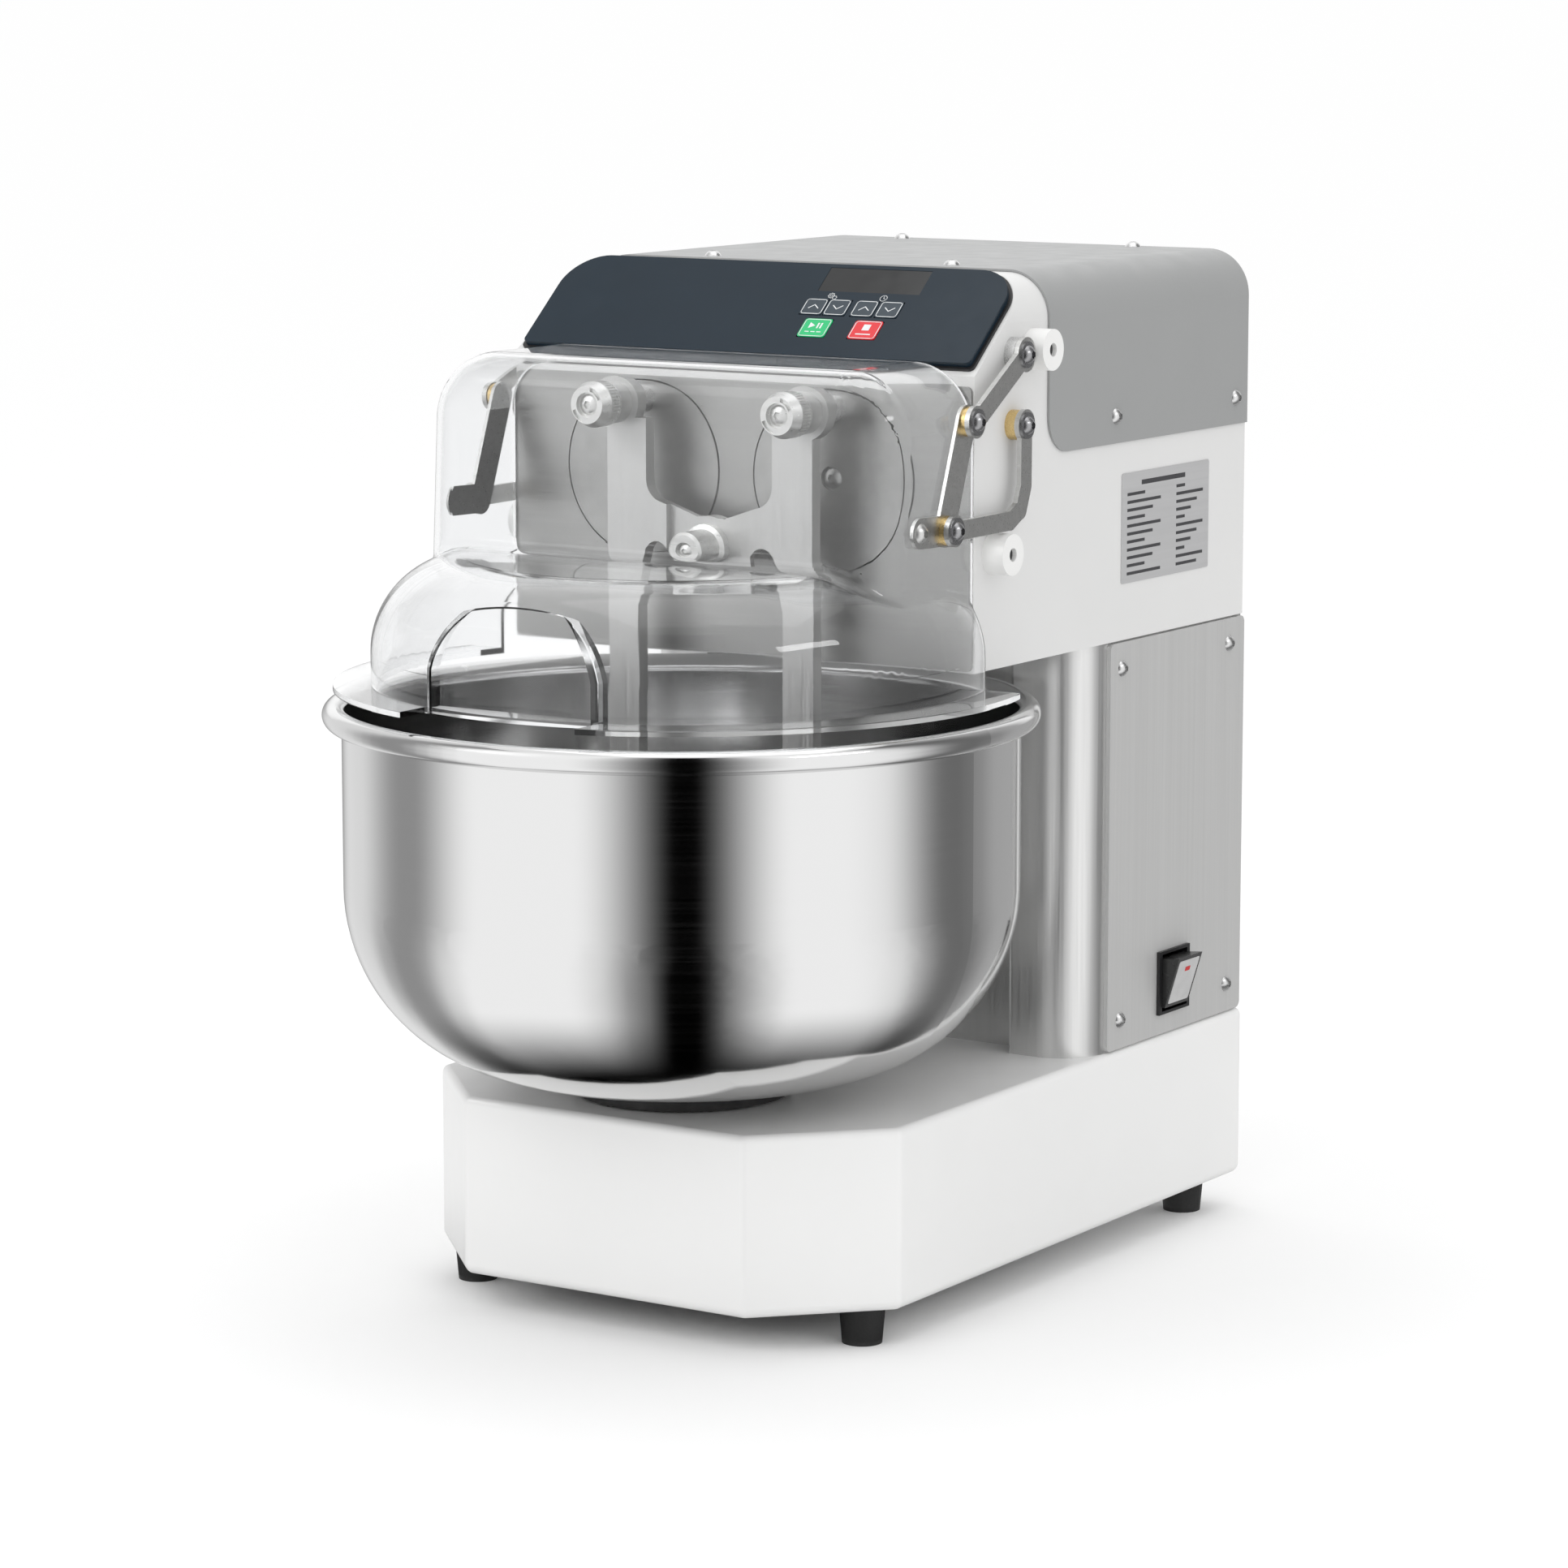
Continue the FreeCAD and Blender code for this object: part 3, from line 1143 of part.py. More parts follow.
os.makedirs("parts", exist_ok=True)
for item in nodes:
    item.Shape.exportStep("parts/%s.step" % item.Label)
    bounds = item.Shape.optimalBoundingBox(False)
    print("%-28s %2d solids  %9.1f cm3  x %7.1f %7.1f  y %7.1f %7.1f  z %7.1f %7.1f" % (
        item.Label, len(item.Shape.Solids), item.Shape.Volume / 1000, bounds.XMin, bounds.XMax,
        bounds.YMin, bounds.YMax, bounds.ZMin, bounds.ZMax))
print(len(nodes), "nodes")
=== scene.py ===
"""Twin-arm dough mixer: materials, printed details, studio and camera around the CAD frame."""
import json
import math

import bmesh
import bpy
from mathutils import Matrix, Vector


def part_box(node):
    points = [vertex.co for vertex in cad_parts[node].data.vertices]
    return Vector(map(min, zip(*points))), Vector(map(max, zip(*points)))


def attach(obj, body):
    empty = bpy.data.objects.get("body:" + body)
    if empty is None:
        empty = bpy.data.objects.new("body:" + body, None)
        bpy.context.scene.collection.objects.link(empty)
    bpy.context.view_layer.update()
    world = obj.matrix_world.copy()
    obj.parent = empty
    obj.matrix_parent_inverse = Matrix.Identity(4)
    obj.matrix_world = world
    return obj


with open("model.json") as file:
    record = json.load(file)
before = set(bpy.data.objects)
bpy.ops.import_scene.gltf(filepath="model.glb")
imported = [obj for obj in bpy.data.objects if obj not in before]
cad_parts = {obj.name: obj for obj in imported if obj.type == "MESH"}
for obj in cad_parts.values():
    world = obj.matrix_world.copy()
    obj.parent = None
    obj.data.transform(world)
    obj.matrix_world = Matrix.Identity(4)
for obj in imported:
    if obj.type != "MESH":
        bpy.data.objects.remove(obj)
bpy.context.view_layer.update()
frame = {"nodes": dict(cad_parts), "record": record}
nodes = frame["nodes"]
MM = 0.001
GRAIN_SCALE = 900.0


# ------------------------------------------------------------------ node helpers
class Recipe:
    """A principled material with the handful of node steps that the finishes share."""

    def __init__(self, name, color, metallic=0.0, roughness=0.4):
        self.material = bpy.data.materials.new(name)
        self.material.use_nodes = True
        self.tree = self.material.node_tree
        self.shader = self.tree.nodes["Principled BSDF"]
        self.color = color
        self.set("Base Color", (*color, 1.0))
        self.set("Metallic", metallic)
        self.set("Roughness", roughness)
        self.place = self.tree.nodes.new("ShaderNodeTexCoord").outputs["Object"]

    def set(self, socket, value):
        self.shader.inputs[socket].default_value = value
        return self

    def wire(self, source, target):
        self.tree.links.new(source, target)

    def stretched(self, scale):
        mapping = self.tree.nodes.new("ShaderNodeMapping")
        mapping.inputs["Scale"].default_value = scale
        self.wire(self.place, mapping.inputs["Vector"])
        return mapping.outputs["Vector"]

    def noise(self, scale, detail=3.0, stretch=(1, 1, 1)):
        texture = self.tree.nodes.new("ShaderNodeTexNoise")
        texture.inputs["Scale"].default_value = scale
        texture.inputs["Detail"].default_value = detail
        self.wire(self.stretched(stretch), texture.inputs["Vector"])
        return texture.outputs["Fac"]

    def ramp(self, value, low, high, from_low=0.3, from_high=0.7):
        step = self.tree.nodes.new("ShaderNodeMapRange")
        step.inputs["From Min"].default_value = from_low
        step.inputs["From Max"].default_value = from_high
        step.inputs["To Min"].default_value = low
        step.inputs["To Max"].default_value = high
        self.wire(value, step.inputs["Value"])
        return step.outputs["Result"]

    def mix(self, factor, first, second):
        blend = self.tree.nodes.new("ShaderNodeMix")
        blend.data_type = "RGBA"
        blend.inputs["A"].default_value = (*first, 1.0)
        blend.inputs["B"].default_value = (*second, 1.0)
        self.wire(factor, blend.inputs["Factor"])
        return blend.outputs["Result"]

    def tint(self, value, spread):
        """The base colour wanders up and down by the given share."""
        darker = tuple(part * (1 - spread) for part in self.color)
        lighter = tuple(min(1.0, part * (1 + spread)) for part in self.color)
        self.wire(self.mix(self.ramp(value, 0.0, 1.0), darker, lighter),
                  self.shader.inputs["Base Color"])
        return self

    def rough(self, value, low, high):
        self.wire(self.ramp(value, low, high), self.shader.inputs["Roughness"])
        return self

    def bump(self, value, strength, distance=0.0005):
        step = self.tree.nodes.new("ShaderNodeBump")
        step.inputs["Strength"].default_value = strength
        step.inputs["Distance"].default_value = distance
        self.wire(value, step.inputs["Height"])
        self.wire(step.outputs["Normal"], self.shader.inputs["Normal"])
        return self


def painted(name, color, roughness, peel, spread=0.012):
    """Baked satin paint: faint orange peel, slightly uneven gloss."""
    paint = Recipe(name, color, 0.0, roughness)
    broad = paint.noise(9.0, 2.0)
    paint.tint(broad, spread).rough(paint.noise(60.0, 3.0), roughness - 0.05, roughness + 0.06)
    return paint.bump(paint.noise(620.0, 2.0), peel, 0.0002).material


def brushed(name, color, roughness, along, depth=0.05, spread=0.05, metallic=1.0):
    """Metal with its grain along one axis."""
    stretch = {"x": (0.012, 1, 1), "y": (1, 0.012, 1), "z": (1, 1, 0.012)}[along]
    metal = Recipe(name, color, metallic, roughness)
    grain = metal.noise(GRAIN_SCALE, 3.0, stretch)
    metal.tint(metal.noise(GRAIN_SCALE * 0.4, 3.0, stretch), spread)
    metal.rough(grain, roughness - 0.06, roughness + 0.08)
    return metal.bump(grain, depth, 0.0002).material


def turned(name, color, roughness, spread=0.05, metallic=1.0):
    """Small turned or machined pieces: fine even tool marks."""
    metal = Recipe(name, color, metallic, roughness)
    marks = metal.noise(1500.0, 2.0)
    metal.tint(metal.noise(140.0, 3.0), spread).rough(marks, roughness - 0.05, roughness + 0.07)
    return metal.bump(marks, 0.05, 0.0001).material


def spun_steel():
    """The bowl: polished, with the faintest rings left by spinning."""
    steel = Recipe("polished_steel", (0.72, 0.72, 0.72), 1.0, 0.1)
    rings = steel.noise(700.0, 2.0, (0.01, 0.01, 1))
    steel.rough(rings, 0.085, 0.125)
    return steel.bump(rings, 0.012, 0.0001).material


def moulded(name, color, roughness, grain=0.08, spread=0.06, scale=900.0):
    plastic = Recipe(name, color, 0.0, roughness)
    texture = plastic.noise(scale, 2.0)
    plastic.tint(plastic.noise(45.0, 3.0), spread)
    plastic.rough(texture, roughness - 0.05, roughness + 0.06)
    return plastic.bump(texture, grain, 0.0002).material


def glossy(name, color, roughness=0.12, spread=0.04, specular=0.5):
    plastic = Recipe(name, color, 0.0, roughness)
    plastic.set("Specular IOR Level", specular)
    plastic.tint(plastic.noise(30.0, 2.0), spread)
    plastic.rough(plastic.noise(90.0, 3.0), roughness - 0.03, roughness + 0.05)
    return plastic.bump(plastic.noise(240.0, 2.0), 0.01, 0.0002).material


def clear_guard():
    """Thick moulded polycarbonate, slightly wavy, that lets lamp light through to the arms."""
    clear = Recipe("clear_guard", (0.975, 0.98, 0.985), 0.0, 0.03)
    clear.set("Transmission Weight", 1.0).set("IOR", 1.46)
    clear.rough(clear.noise(40.0, 3.0), 0.015, 0.05)
    clear.bump(clear.noise(14.0, 2.0), 0.03, 0.002)
    path = clear.tree.nodes.new("ShaderNodeLightPath")
    through = clear.tree.nodes.new("ShaderNodeBsdfTransparent")
    either = clear.tree.nodes.new("ShaderNodeMixShader")
    clear.wire(path.outputs["Is Shadow Ray"], either.inputs[0])
    clear.wire(clear.shader.outputs[0], either.inputs[1])
    clear.wire(through.outputs[0], either.inputs[2])
    clear.wire(either.outputs[0], clear.tree.nodes["Material Output"].inputs["Surface"])
    return clear.material


def cast(name, color):
    metal = Recipe(name, color, 0.2, 0.6)
    metal.tint(metal.noise(60.0, 4.0), 0.15).rough(metal.noise(200.0, 3.0), 0.5, 0.75)
    return metal.bump(metal.noise(420.0, 4.0), 0.35, 0.0004).material


FINISHES = {
    "white_paint": painted("white_paint", (0.735, 0.735, 0.73), 0.36, 0.05),
    "grey_paint": painted("grey_paint", (0.33, 0.335, 0.335), 0.42, 0.12, 0.02),
    "brushed_steel": brushed("brushed_steel", (0.78, 0.78, 0.775), 0.36, "z", 0.03, 0.025),
    "satin_steel": brushed("satin_steel", (0.62, 0.62, 0.61), 0.32, "x", 0.04),
    "bright_steel": turned("bright_steel", (0.68, 0.68, 0.68), 0.24),
    "polished_steel": spun_steel(),
    "gear_steel": turned("gear_steel", (0.42, 0.42, 0.43), 0.32),
    "sheet_steel": turned("sheet_steel", (0.5, 0.5, 0.5), 0.4),
    "dark_screw": turned("dark_screw", (0.34, 0.34, 0.35), 0.28),
    "dark_casting": cast("dark_casting", (0.035, 0.035, 0.035)),
    "motor_iron": cast("motor_iron", (0.08, 0.10, 0.12)),
    "motor_aluminium": cast("motor_aluminium", (0.35, 0.36, 0.37)),
    "brass": turned("brass", (0.78, 0.58, 0.27), 0.24),
    "black_rubber": moulded("black_rubber", (0.018, 0.018, 0.018), 0.6, 0.25),
    "black_plastic": moulded("black_plastic", (0.012, 0.012, 0.013), 0.36, 0.1),
    "white_nylon": moulded("white_nylon", (0.84, 0.84, 0.83), 0.42, 0.05, 0.015),
    "navy_glass": glossy("navy_glass", (0.010, 0.021, 0.033), 0.14, specular=0.22),
    "display_dark": glossy("display_dark", (0.004, 0.005, 0.006), 0.08),
    "key_legend": glossy("key_legend", (0.022, 0.038, 0.054), 0.18),
    "key_green": glossy("key_green", (0.01, 0.50, 0.17), 0.22),
    "key_red": glossy("key_red", (0.72, 0.02, 0.03), 0.22),
    "circuit_board": glossy("circuit_board", (0.02, 0.16, 0.06), 0.3),
    "label_silver": brushed("label_silver", (0.56, 0.56, 0.565), 0.42, "y", 0.02, 0.03, 0.3),
    "switch_face": glossy("switch_face", (0.03, 0.03, 0.03), 0.25),
    "clear_guard": clear_guard(),
}
LEGEND_WHITE = moulded("printed_white", (0.75, 0.77, 0.78), 0.4, 0.03)
PRINT_DARK = moulded("printed_dark", (0.05, 0.05, 0.055), 0.5, 0.03)
LAMP_RED = glossy("lamp_red", (0.55, 0.01, 0.01), 0.15)

# Pieces whose tone differs from the other pieces of their slot.
ARM_STEEL = brushed("arm_steel", (0.50, 0.50, 0.495), 0.36, "z", 0.04, 0.02)
PLATE_STEEL = brushed("plate_steel", (0.35, 0.35, 0.345), 0.38, "x", 0.04, 0.02)
SIDE_STEEL = brushed("side_steel", (0.60, 0.60, 0.595), 0.4, "z", 0.03, 0.025, 0.35)
OWN_FINISH = {
    "column_side_panel_left": SIDE_STEEL, "column_side_panel_right": SIDE_STEEL,
    "mixing_arm_left": ARM_STEEL, "mixing_arm_right": ARM_STEEL,
    "head_front_plate": PLATE_STEEL,
    "stop_screws": moulded("stop_screw_black", (0.03, 0.03, 0.032), 0.4),
    "base_housing": painted("base_paint", (0.85, 0.85, 0.845), 0.36, 0.05),
    "crank_disc_left": turned("disc_steel", (0.36, 0.36, 0.355), 0.36),
    "crank_disc_right": turned("disc_steel_right", (0.36, 0.36, 0.355), 0.36),
}

slot_of = {part["node"]: part["material_slot"] for part in frame["record"]["subparts"]}
for name, thing in nodes.items():
    thing.data.materials.clear()
    thing.data.materials.append(OWN_FINISH.get(name, FINISHES[slot_of[name]]))
    for face in thing.data.polygons:
        face.material_index = 0


# ------------------------------------------------------------------ mesh helpers
def piece(name, mesh, material, body):
    thing = bpy.data.objects.new(name, mesh)
    bpy.context.scene.collection.objects.link(thing)
    thing.data.materials.append(material)
    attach(thing, body)
    return thing


def plaque(name, outlines, depth, origin, across, up, material, body):
    """Flat printed shapes: closed outlines in millimetres, raised a little off a face."""
    out = across.cross(up)
    work = bmesh.new()
    for outline in outlines:
        rings = []
        for height in (0.0, depth):
            rings.append([work.verts.new(origin + across * (x * MM) + up * (y * MM)
                                         + out * (height * MM)) for x, y in outline])
        work.faces.new(list(reversed(rings[0])))
        work.faces.new(rings[1])
        for k in range(len(outline)):
            after = (k + 1) % len(outline)
            work.faces.new((rings[0][k], rings[0][after], rings[1][after], rings[1][k]))
    mesh = bpy.data.meshes.new(name)
    work.normal_update()
    work.to_mesh(mesh)
    work.free()
    return piece(name, mesh, material, body)


def stroke(points, width, closed=False):
    """The quads of a polyline drawn with a pen of that width."""
    pairs = list(zip(points, points[1:] + points[:1])) if closed else list(zip(points, points[1:]))
    quads = []
    for (x0, y0), (x1, y1) in pairs:
        long = math.hypot(x1 - x0, y1 - y0)
        ux, uy = (x1 - x0) / long, (y1 - y0) / long
        px, py = -uy * width / 2, ux * width / 2
        ax, ay = ux * width * 0.35, uy * width * 0.35
        quads.append([(x0 - ax - px, y0 - ay - py), (x1 + ax - px, y1 + ay - py),
                      (x1 + ax + px, y1 + ay + py), (x0 - ax + px, y0 - ay + py)])
    return quads


def rounded_frame(wide, tall, corner, steps=4):
    """Corner points of a rounded rectangle about the origin."""
    points = []
    for sx, sy, start in ((1, 1, 0), (-1, 1, 90), (-1, -1, 180), (1, -1, 270)):
        for k in range(steps + 1):
            angle = math.radians(start + 90 * k / steps)
            points.append((sx * (wide / 2 - corner) + corner * math.cos(angle),
                           sy * (tall / 2 - corner) + corner * math.sin(angle)))
    return points


def ring(radius, steps=20, centre=(0, 0)):
    return [(centre[0] + radius * math.cos(2 * math.pi * k / steps),
             centre[1] + radius * math.sin(2 * math.pi * k / steps)) for k in range(steps)]


# ------------------------------------------------------------------ control panel print
slope_up = Vector((0, 58.7, 49.4)).normalized()
slope_out = Vector((0, -slope_up.z, slope_up.y))
ACROSS = Vector((1, 0, 0))


def key_face(name):
    """The middle of a key's outer face."""
    low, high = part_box(name)
    centre = (low + high) / 2
    reach = max(slope_out.dot(Vector(vertex.co)) for vertex in nodes[name].data.vertices)
    return centre + slope_out * (reach - slope_out.dot(centre))


def key_print(name, shapes, material=LEGEND_WHITE, depth=0.06):
    plaque(name + "_print", shapes, depth, key_face(name), ACROSS, slope_up, material,
           name + "_body")


PEN = 0.42
chevron = [(-3.0, -1.3), (0, 1.3), (3.0, -1.3)]
for name, turn in (("key_speed_up", 1), ("key_speed_down", -1),
                   ("key_time_up", 1), ("key_time_down", -1)):
    border = stroke(rounded_frame(12.4, 10.8, 1.6), PEN, True)
    arrow = stroke([(x, y * turn) for x, y in chevron], PEN * 1.3)
    key_print(name, border + arrow)

edge = stroke(rounded_frame(15.6, 12.4, 1.6), PEN, True)
play = [[(-4.2, -0.6), (-0.6, 1.6), (-4.2, 3.8)]]
bars = [[(x, -0.4), (x + 1.0, -0.4), (x + 1.0, 3.6), (x, 3.6)] for x in (0.7, 2.7)]
dashes = [[(x, -3.4), (x + 2.6, -3.4), (x + 2.6, -2.8), (x, -2.8)] for x in (-5.0, -1.3, 2.4)]
key_print("key_start_pause", edge + play + bars + dashes)
square = [[(-2.2, -0.4), (2.2, -0.4), (2.2, 4.0), (-2.2, 4.0)]]
dash = [[(-4.6, -3.7), (4.6, -3.7), (4.6, -2.9), (-4.6, -2.9)]]
key_print("key_stop", edge + square + dash)

glass_reach = max(slope_out.dot(Vector(vertex.co))
                  for vertex in nodes["control_panel"].data.vertices)


def on_glass(first, second):
    """A point on the glass, above the middle of two keys."""
    middle = (key_face(first) + key_face(second)) / 2
    middle += slope_up * (8.6 * MM)
    return middle + slope_out * (glass_reach - slope_out.dot(middle))


def cog(radius, teeth, centre):
    points = []
    for k in range(teeth * 4):
        angle = 2 * math.pi * k / (teeth * 4)
        reach = radius if k % 4 < 2 else radius * 0.76
        points.append((centre[0] + reach * math.cos(angle), centre[1] + reach * math.sin(angle)))
    return points


gears = (stroke(cog(1.9, 8, (-0.9, 0.5)), 0.3, True) + stroke(cog(1.4, 7, (1.7, -1.0)), 0.3, True)
         + stroke(ring(0.7, 12, (-0.9, 0.5)), 0.25, True))
plaque("speed_symbol", gears, 0.05, on_glass("key_speed_up", "key_speed_down"), ACROSS, slope_up,
       LEGEND_WHITE, "root")
clock = stroke(ring(2.1, 24), 0.32, True) + stroke([(0, 1.4), (0, 0), (1.1, -0.5)], 0.3)
plaque("time_symbol", clock, 0.05, on_glass("key_time_up", "key_time_down"), ACROSS, slope_up,
       LEGEND_WHITE, "root")


# ------------------------------------------------------------------ switch face
ROCKER_SLOPE_ACROSS = 8.9
ROCKER_SLOPE_RISE = 29.0
rocker_low, rocker_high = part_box("switch_rocker")
ROCKER_UP = Vector((ROCKER_SLOPE_ACROSS, 0, ROCKER_SLOPE_RISE)).normalized()
ROCKER_ACROSS = Vector((0, 1, 0))
rocker_middle = (rocker_low + rocker_high) / 2
rocker_middle.x = rocker_high.x - ROCKER_SLOPE_ACROSS / 2 * MM
plaque("rocker_plate", [rounded_frame(23.0, 26.0, 1.2)], 0.25, rocker_middle, ROCKER_ACROSS,
       ROCKER_UP, turned("rocker_plate", (0.62, 0.62, 0.62), 0.35, 0.05, 0.3),
       "rocker")
plaque("rocker_lamp", [[(-2.6, 6.0), (2.6, 6.0), (2.6, 8.6), (-2.6, 8.6)]], 0.45, rocker_middle,
       ROCKER_ACROSS, ROCKER_UP, LAMP_RED, "rocker")


# ------------------------------------------------------------------ rating plate
def plate_marks():
    """Rows of plain bars where a rating plate has its two columns of entries."""
    low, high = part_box("rating_plate")
    wide = (high.y - low.y) / MM
    tall = (high.z - low.z) / MM
    shapes = []

    def bar(start, long, level, thick):
        shapes.append([(start, level), (start + long, level), (start + long, level + thick),
                       (start, level + thick)])

    bar(wide * 0.22, wide * 0.50, tall * 0.875, 2.6)
    row_step = tall * 0.072
    for row in range(11):
        level = tall * 0.79 - row * row_step
        bar(wide * 0.06, wide * (0.20 + 0.09 * ((row * 5) % 3)), level, 1.7)
        bar(wide * 0.62, wide * (0.10 + 0.07 * ((row * 7) % 4)), level, 1.7)
    plaque("plate_marks", shapes, 0.04, Vector((high.x, low.y, low.z)), Vector((0, 1, 0)),
           Vector((0, 0, 1)), PRINT_DARK, "root")


plate_marks()


# ------------------------------------------------------------------ studio
def flat_plane(name, half, level, material):
    mesh = bpy.data.meshes.new(name)
    mesh.from_pydata([(-half, -half, level), (half, -half, level), (half, half, level),
                      (-half, half, level)], [], [(0, 1, 2, 3)])
    plane = bpy.data.objects.new(name, mesh)
    bpy.context.scene.collection.objects.link(plane)
    plane.data.materials.append(material)
    return plane


floor_paint = Recipe("studio_floor", (0.965, 0.965, 0.965), 0.0, 0.9)
floor_paint.set("Specular IOR Level", 0.0)
flat_plane("studio_floor", 300.0, 0.0, floor_paint.material)

CAMERA_AZIMUTH = math.radians(32.780)
CAMERA_DOWN = math.radians(9.1246)
BOWL_AHEAD = 0.085


def unseen(thing):
    """Only reflections show this piece of the studio."""
    thing.visible_camera = False
    thing.visible_diffuse = False
    thing.visible_shadow = False
    thing.visible_transmission = False
    thing.visible_volume_scatter = False


def reflector():
    """White studio walls and floor that only shiny surfaces see, dark around the camera."""
    segments, radius, top, low, middle = 96, 1.5, 2.6, 0.002, 0.02
    mesh = bpy.data.meshes.new("studio_walls")
    corners, faces = [], []
    for k in range(segments):
        angle = 2 * math.pi * k / segments
        for reach, level in ((middle, low), (radius, low), (radius, top)):
            corners.append((reach * math.sin(angle), -reach * math.cos(angle), level))
    for k in range(segments):
        after = (k + 1) % segments
        for step in (0, 1):
            faces.append((3 * k + step, 3 * k + step + 1, 3 * after + step + 1,
                          3 * after + step))
    mesh.from_pydata(corners, [], faces)
    wall = bpy.data.objects.new("studio_walls", mesh)
    bpy.context.scene.collection.objects.link(wall)
    material = bpy.data.materials.new("studio_walls")
    material.use_nodes = True
    tree = material.node_tree
    tree.nodes.clear()
    place = tree.nodes.new("ShaderNodeTexCoord").outputs["Object"]
    split = tree.nodes.new("ShaderNodeSeparateXYZ")
    tree.links.new(place, split.inputs["Vector"])

    def math_node(kind, first, second=None):
        step = tree.nodes.new("ShaderNodeMath")
        step.operation = kind
        for socket, value in zip(step.inputs, (first, second)):
            if value is None:
                continue
            if isinstance(value, float):
                socket.default_value = value
            else:
                tree.links.new(value, socket)
        return step.outputs[0]

    def smooth(value, start, end, low, high):
        step = tree.nodes.new("ShaderNodeMapRange")
        step.interpolation_type = "SMOOTHSTEP"
        for socket, number in zip(("From Min", "From Max", "To Min", "To Max"),
                                  (start, end, low, high)):
            step.inputs[socket].default_value = number
        tree.links.new(value, step.inputs["Value"])
        return step.outputs["Result"]

    ahead = math.sin(CAMERA_AZIMUTH), -math.cos(CAMERA_AZIMUTH)
    from_middle = math_node("SQRT", math_node("ADD", math_node("POWER", split.outputs["X"], 2.0),
                                              math_node("POWER", split.outputs["Y"], 2.0)))
    inward = math_node("SUBTRACT", 1.0, math_node("DIVIDE", from_middle, radius))
    along_y = math_node("ADD", split.outputs["Y"], math_node("MULTIPLY", inward, BOWL_AHEAD))
    forward = math_node("ADD", math_node("MULTIPLY", split.outputs["X"], ahead[0]),
                        math_node("MULTIPLY", along_y, ahead[1]))
    sideways = math_node("ADD", math_node("MULTIPLY", split.outputs["X"], -ahead[1]),
                         math_node("MULTIPLY", along_y, ahead[0]))
    angle = math_node("ARCTAN2", sideways, forward)
    apart = math_node("ABSOLUTE", angle)
    gap = smooth(apart, math.radians(3), math.radians(34), 0.0, 1.0)
    fade_in = smooth(apart, math.radians(64), math.radians(93), 1.0, 0.30)
    return_light = smooth(apart, math.radians(98), math.radians(128), 0.0, 0.45)
    back_fade = smooth(apart, math.radians(140), math.radians(165), 1.0, 0.35)
    right_fade = smooth(angle, math.radians(48), math.radians(100), 1.0, 0.52)
    back_fade = math_node("MULTIPLY", back_fade, right_fade)
    around = math_node("MULTIPLY", gap, math_node("MULTIPLY",
                                                  math_node("ADD", fade_in, return_light),
                                                  back_fade))
    behind = smooth(apart, math.radians(115), math.radians(150), 0.0, 1.0)
    high_behind = math_node("MULTIPLY", behind, smooth(split.outputs["Z"], 0.2, 0.6, 0.0, 1.0))
    reach_out = math_node("SQRT", math_node("ADD", math_node("POWER", forward, 2.0),
                                            math_node("POWER", sideways, 2.0)))
    near_fade = smooth(reach_out, 0.10, 0.33, 0.0, 1.0)
    strength = math_node("MAXIMUM", math_node("MULTIPLY", around, near_fade), high_behind)
    glow = tree.nodes.new("ShaderNodeEmission")
    tree.links.new(math_node("MULTIPLY", strength, 1.15), glow.inputs["Strength"])
    end = tree.nodes.new("ShaderNodeOutputMaterial")
    tree.links.new(glow.outputs[0], end.inputs["Surface"])
    wall.data.materials.append(material)
    unseen(wall)


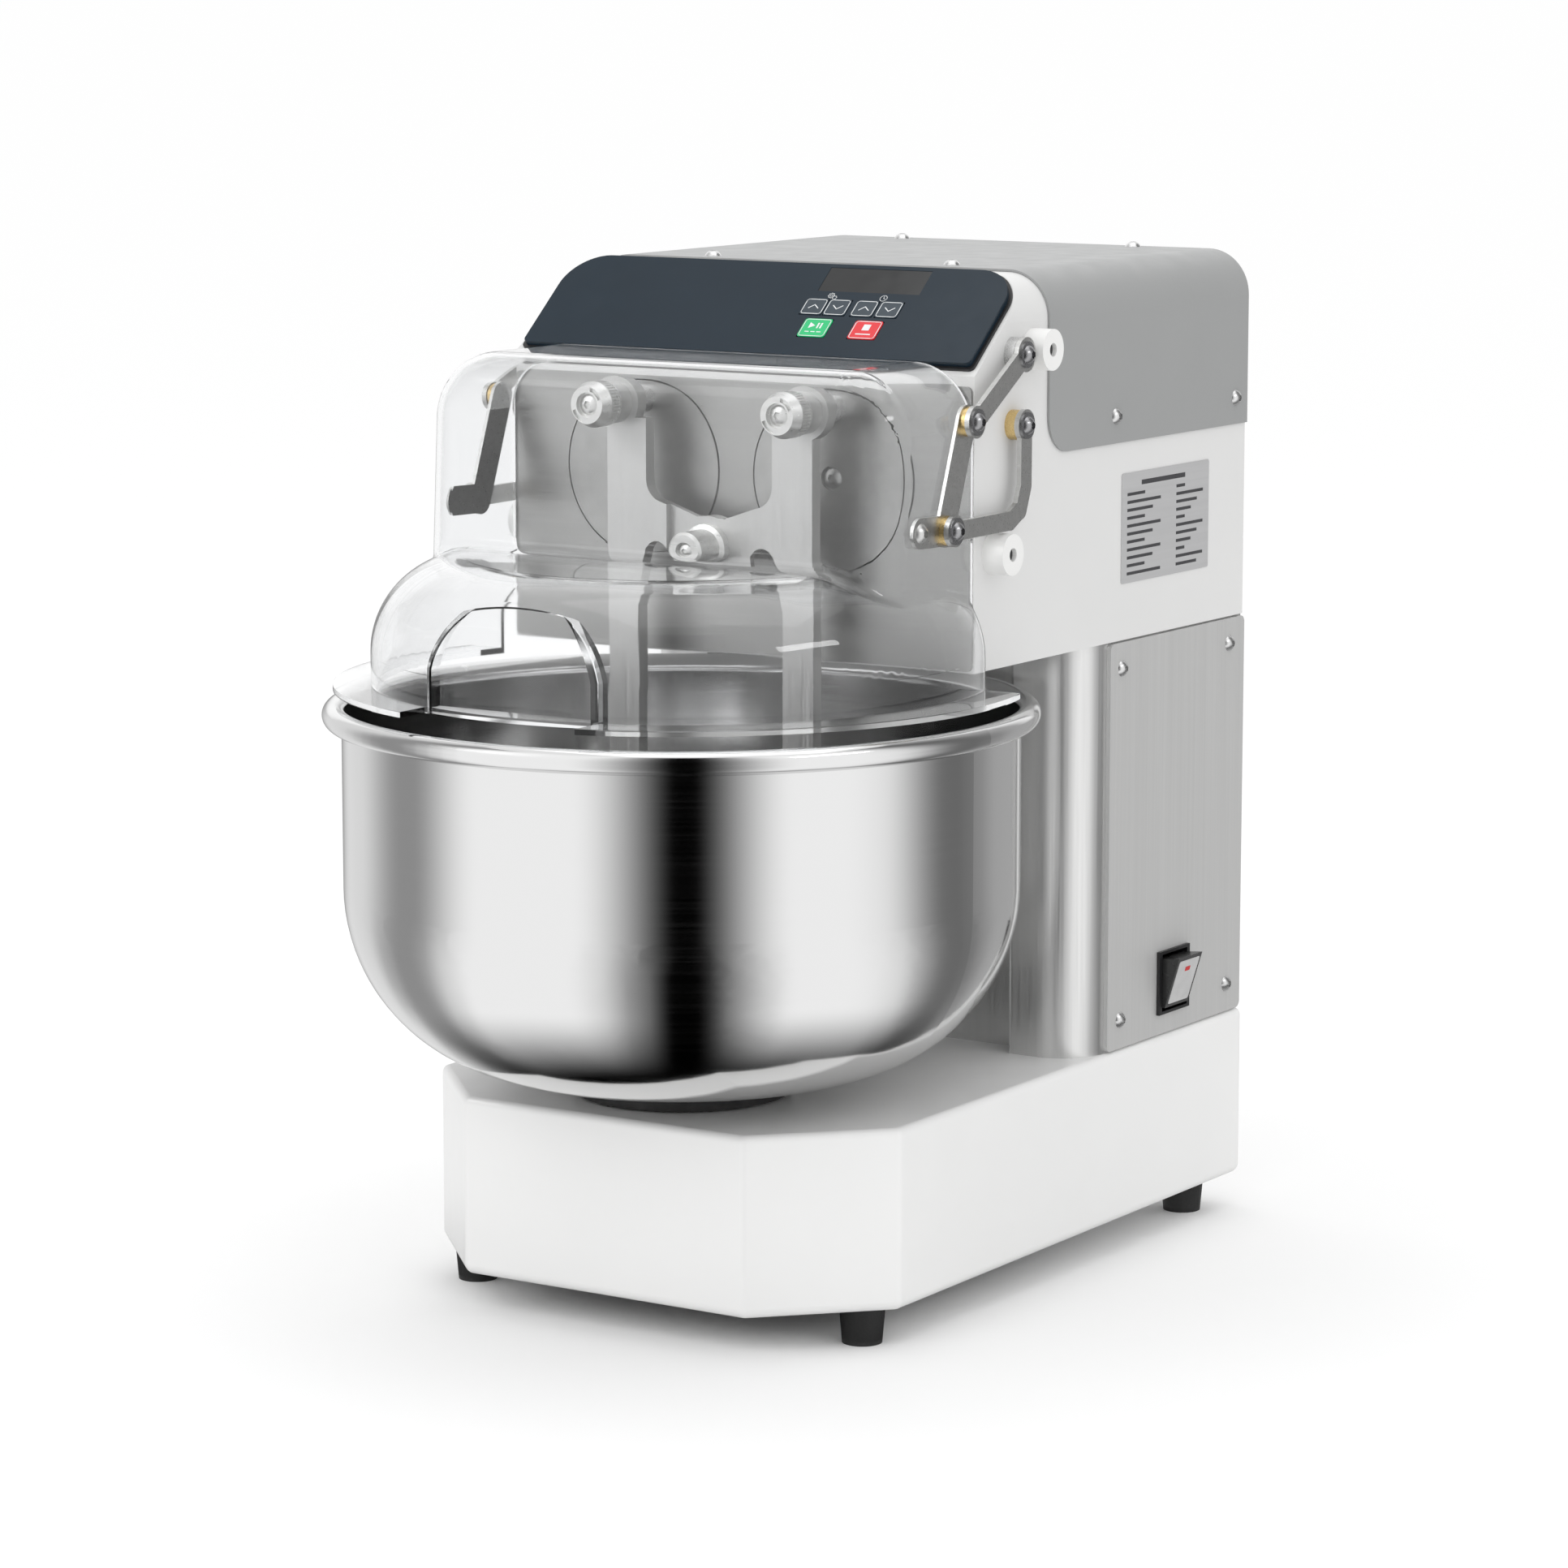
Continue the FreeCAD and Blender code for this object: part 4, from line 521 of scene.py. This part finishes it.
def highlight_card(name, centre, aim, wide, tall, strength):
    """A bright card that draws the white lines along the guard's bends."""
    mesh = bpy.data.meshes.new(name)
    mesh.from_pydata([(-wide / 2, -tall / 2, 0), (wide / 2, -tall / 2, 0),
                      (wide / 2, tall / 2, 0), (-wide / 2, tall / 2, 0)], [], [(0, 1, 2, 3)])
    card = bpy.data.objects.new(name, mesh)
    bpy.context.scene.collection.objects.link(card)
    card.location = centre
    toward = Vector(aim) - Vector(centre)
    card.rotation_euler = toward.to_track_quat("-Z", "Y").to_euler()
    material = bpy.data.materials.new(name)
    material.use_nodes = True
    tree = material.node_tree
    tree.nodes.clear()
    glow = tree.nodes.new("ShaderNodeEmission")
    glow.inputs["Strength"].default_value = strength
    end = tree.nodes.new("ShaderNodeOutputMaterial")
    tree.links.new(glow.outputs[0], end.inputs["Surface"])
    card.data.materials.append(material)
    unseen(card)


reflector()
highlight_card("front_card", (-1.0, -1.3, 1.45), (0, -0.1, 0.45), 0.9, 0.45, 14.0)
highlight_card("side_card", (1.1, -0.2, 1.1), (0.1, -0.1, 0.45), 0.5, 0.12, 10.0)

world = bpy.data.worlds.new("studio_air")
world.use_nodes = True
world.node_tree.nodes["Background"].inputs["Color"].default_value = (1.0, 1.0, 1.0, 1.0)
world.node_tree.nodes["Background"].inputs["Strength"].default_value = 1.03
bpy.context.scene.world = world


def softbox(name, place, aim, size, power):
    lamp = bpy.data.lights.new(name, "AREA")
    lamp.shape = "RECTANGLE"
    lamp.size, lamp.size_y = size
    lamp.energy = power
    thing = bpy.data.objects.new(name, lamp)
    bpy.context.scene.collection.objects.link(thing)
    thing.location = place
    thing.rotation_euler = (Vector(aim) - Vector(place)).to_track_quat("-Z", "Y").to_euler()
    return thing


softbox("key_light", (-0.9, -1.9, 2.1), (0, 0, 0.3), (1.6, 1.2), 6)
softbox("top_light", (0.1, 0.1, 2.2), (0, 0, 0.3), (1.6, 1.6), 5)

camera = bpy.data.cameras.new("product_camera")
camera.lens = 121.93
camera.sensor_width = 36
camera.clip_end = 2000
viewer = bpy.data.objects.new("product_camera", camera)
bpy.context.scene.collection.objects.link(viewer)
viewer.location = (1.5516, -2.3946, 0.7294)
viewer.rotation_euler = (math.radians(90) - CAMERA_DOWN, 0, CAMERA_AZIMUTH)
bpy.context.scene.camera = viewer
bpy.context.scene.view_settings.view_transform = "Standard"
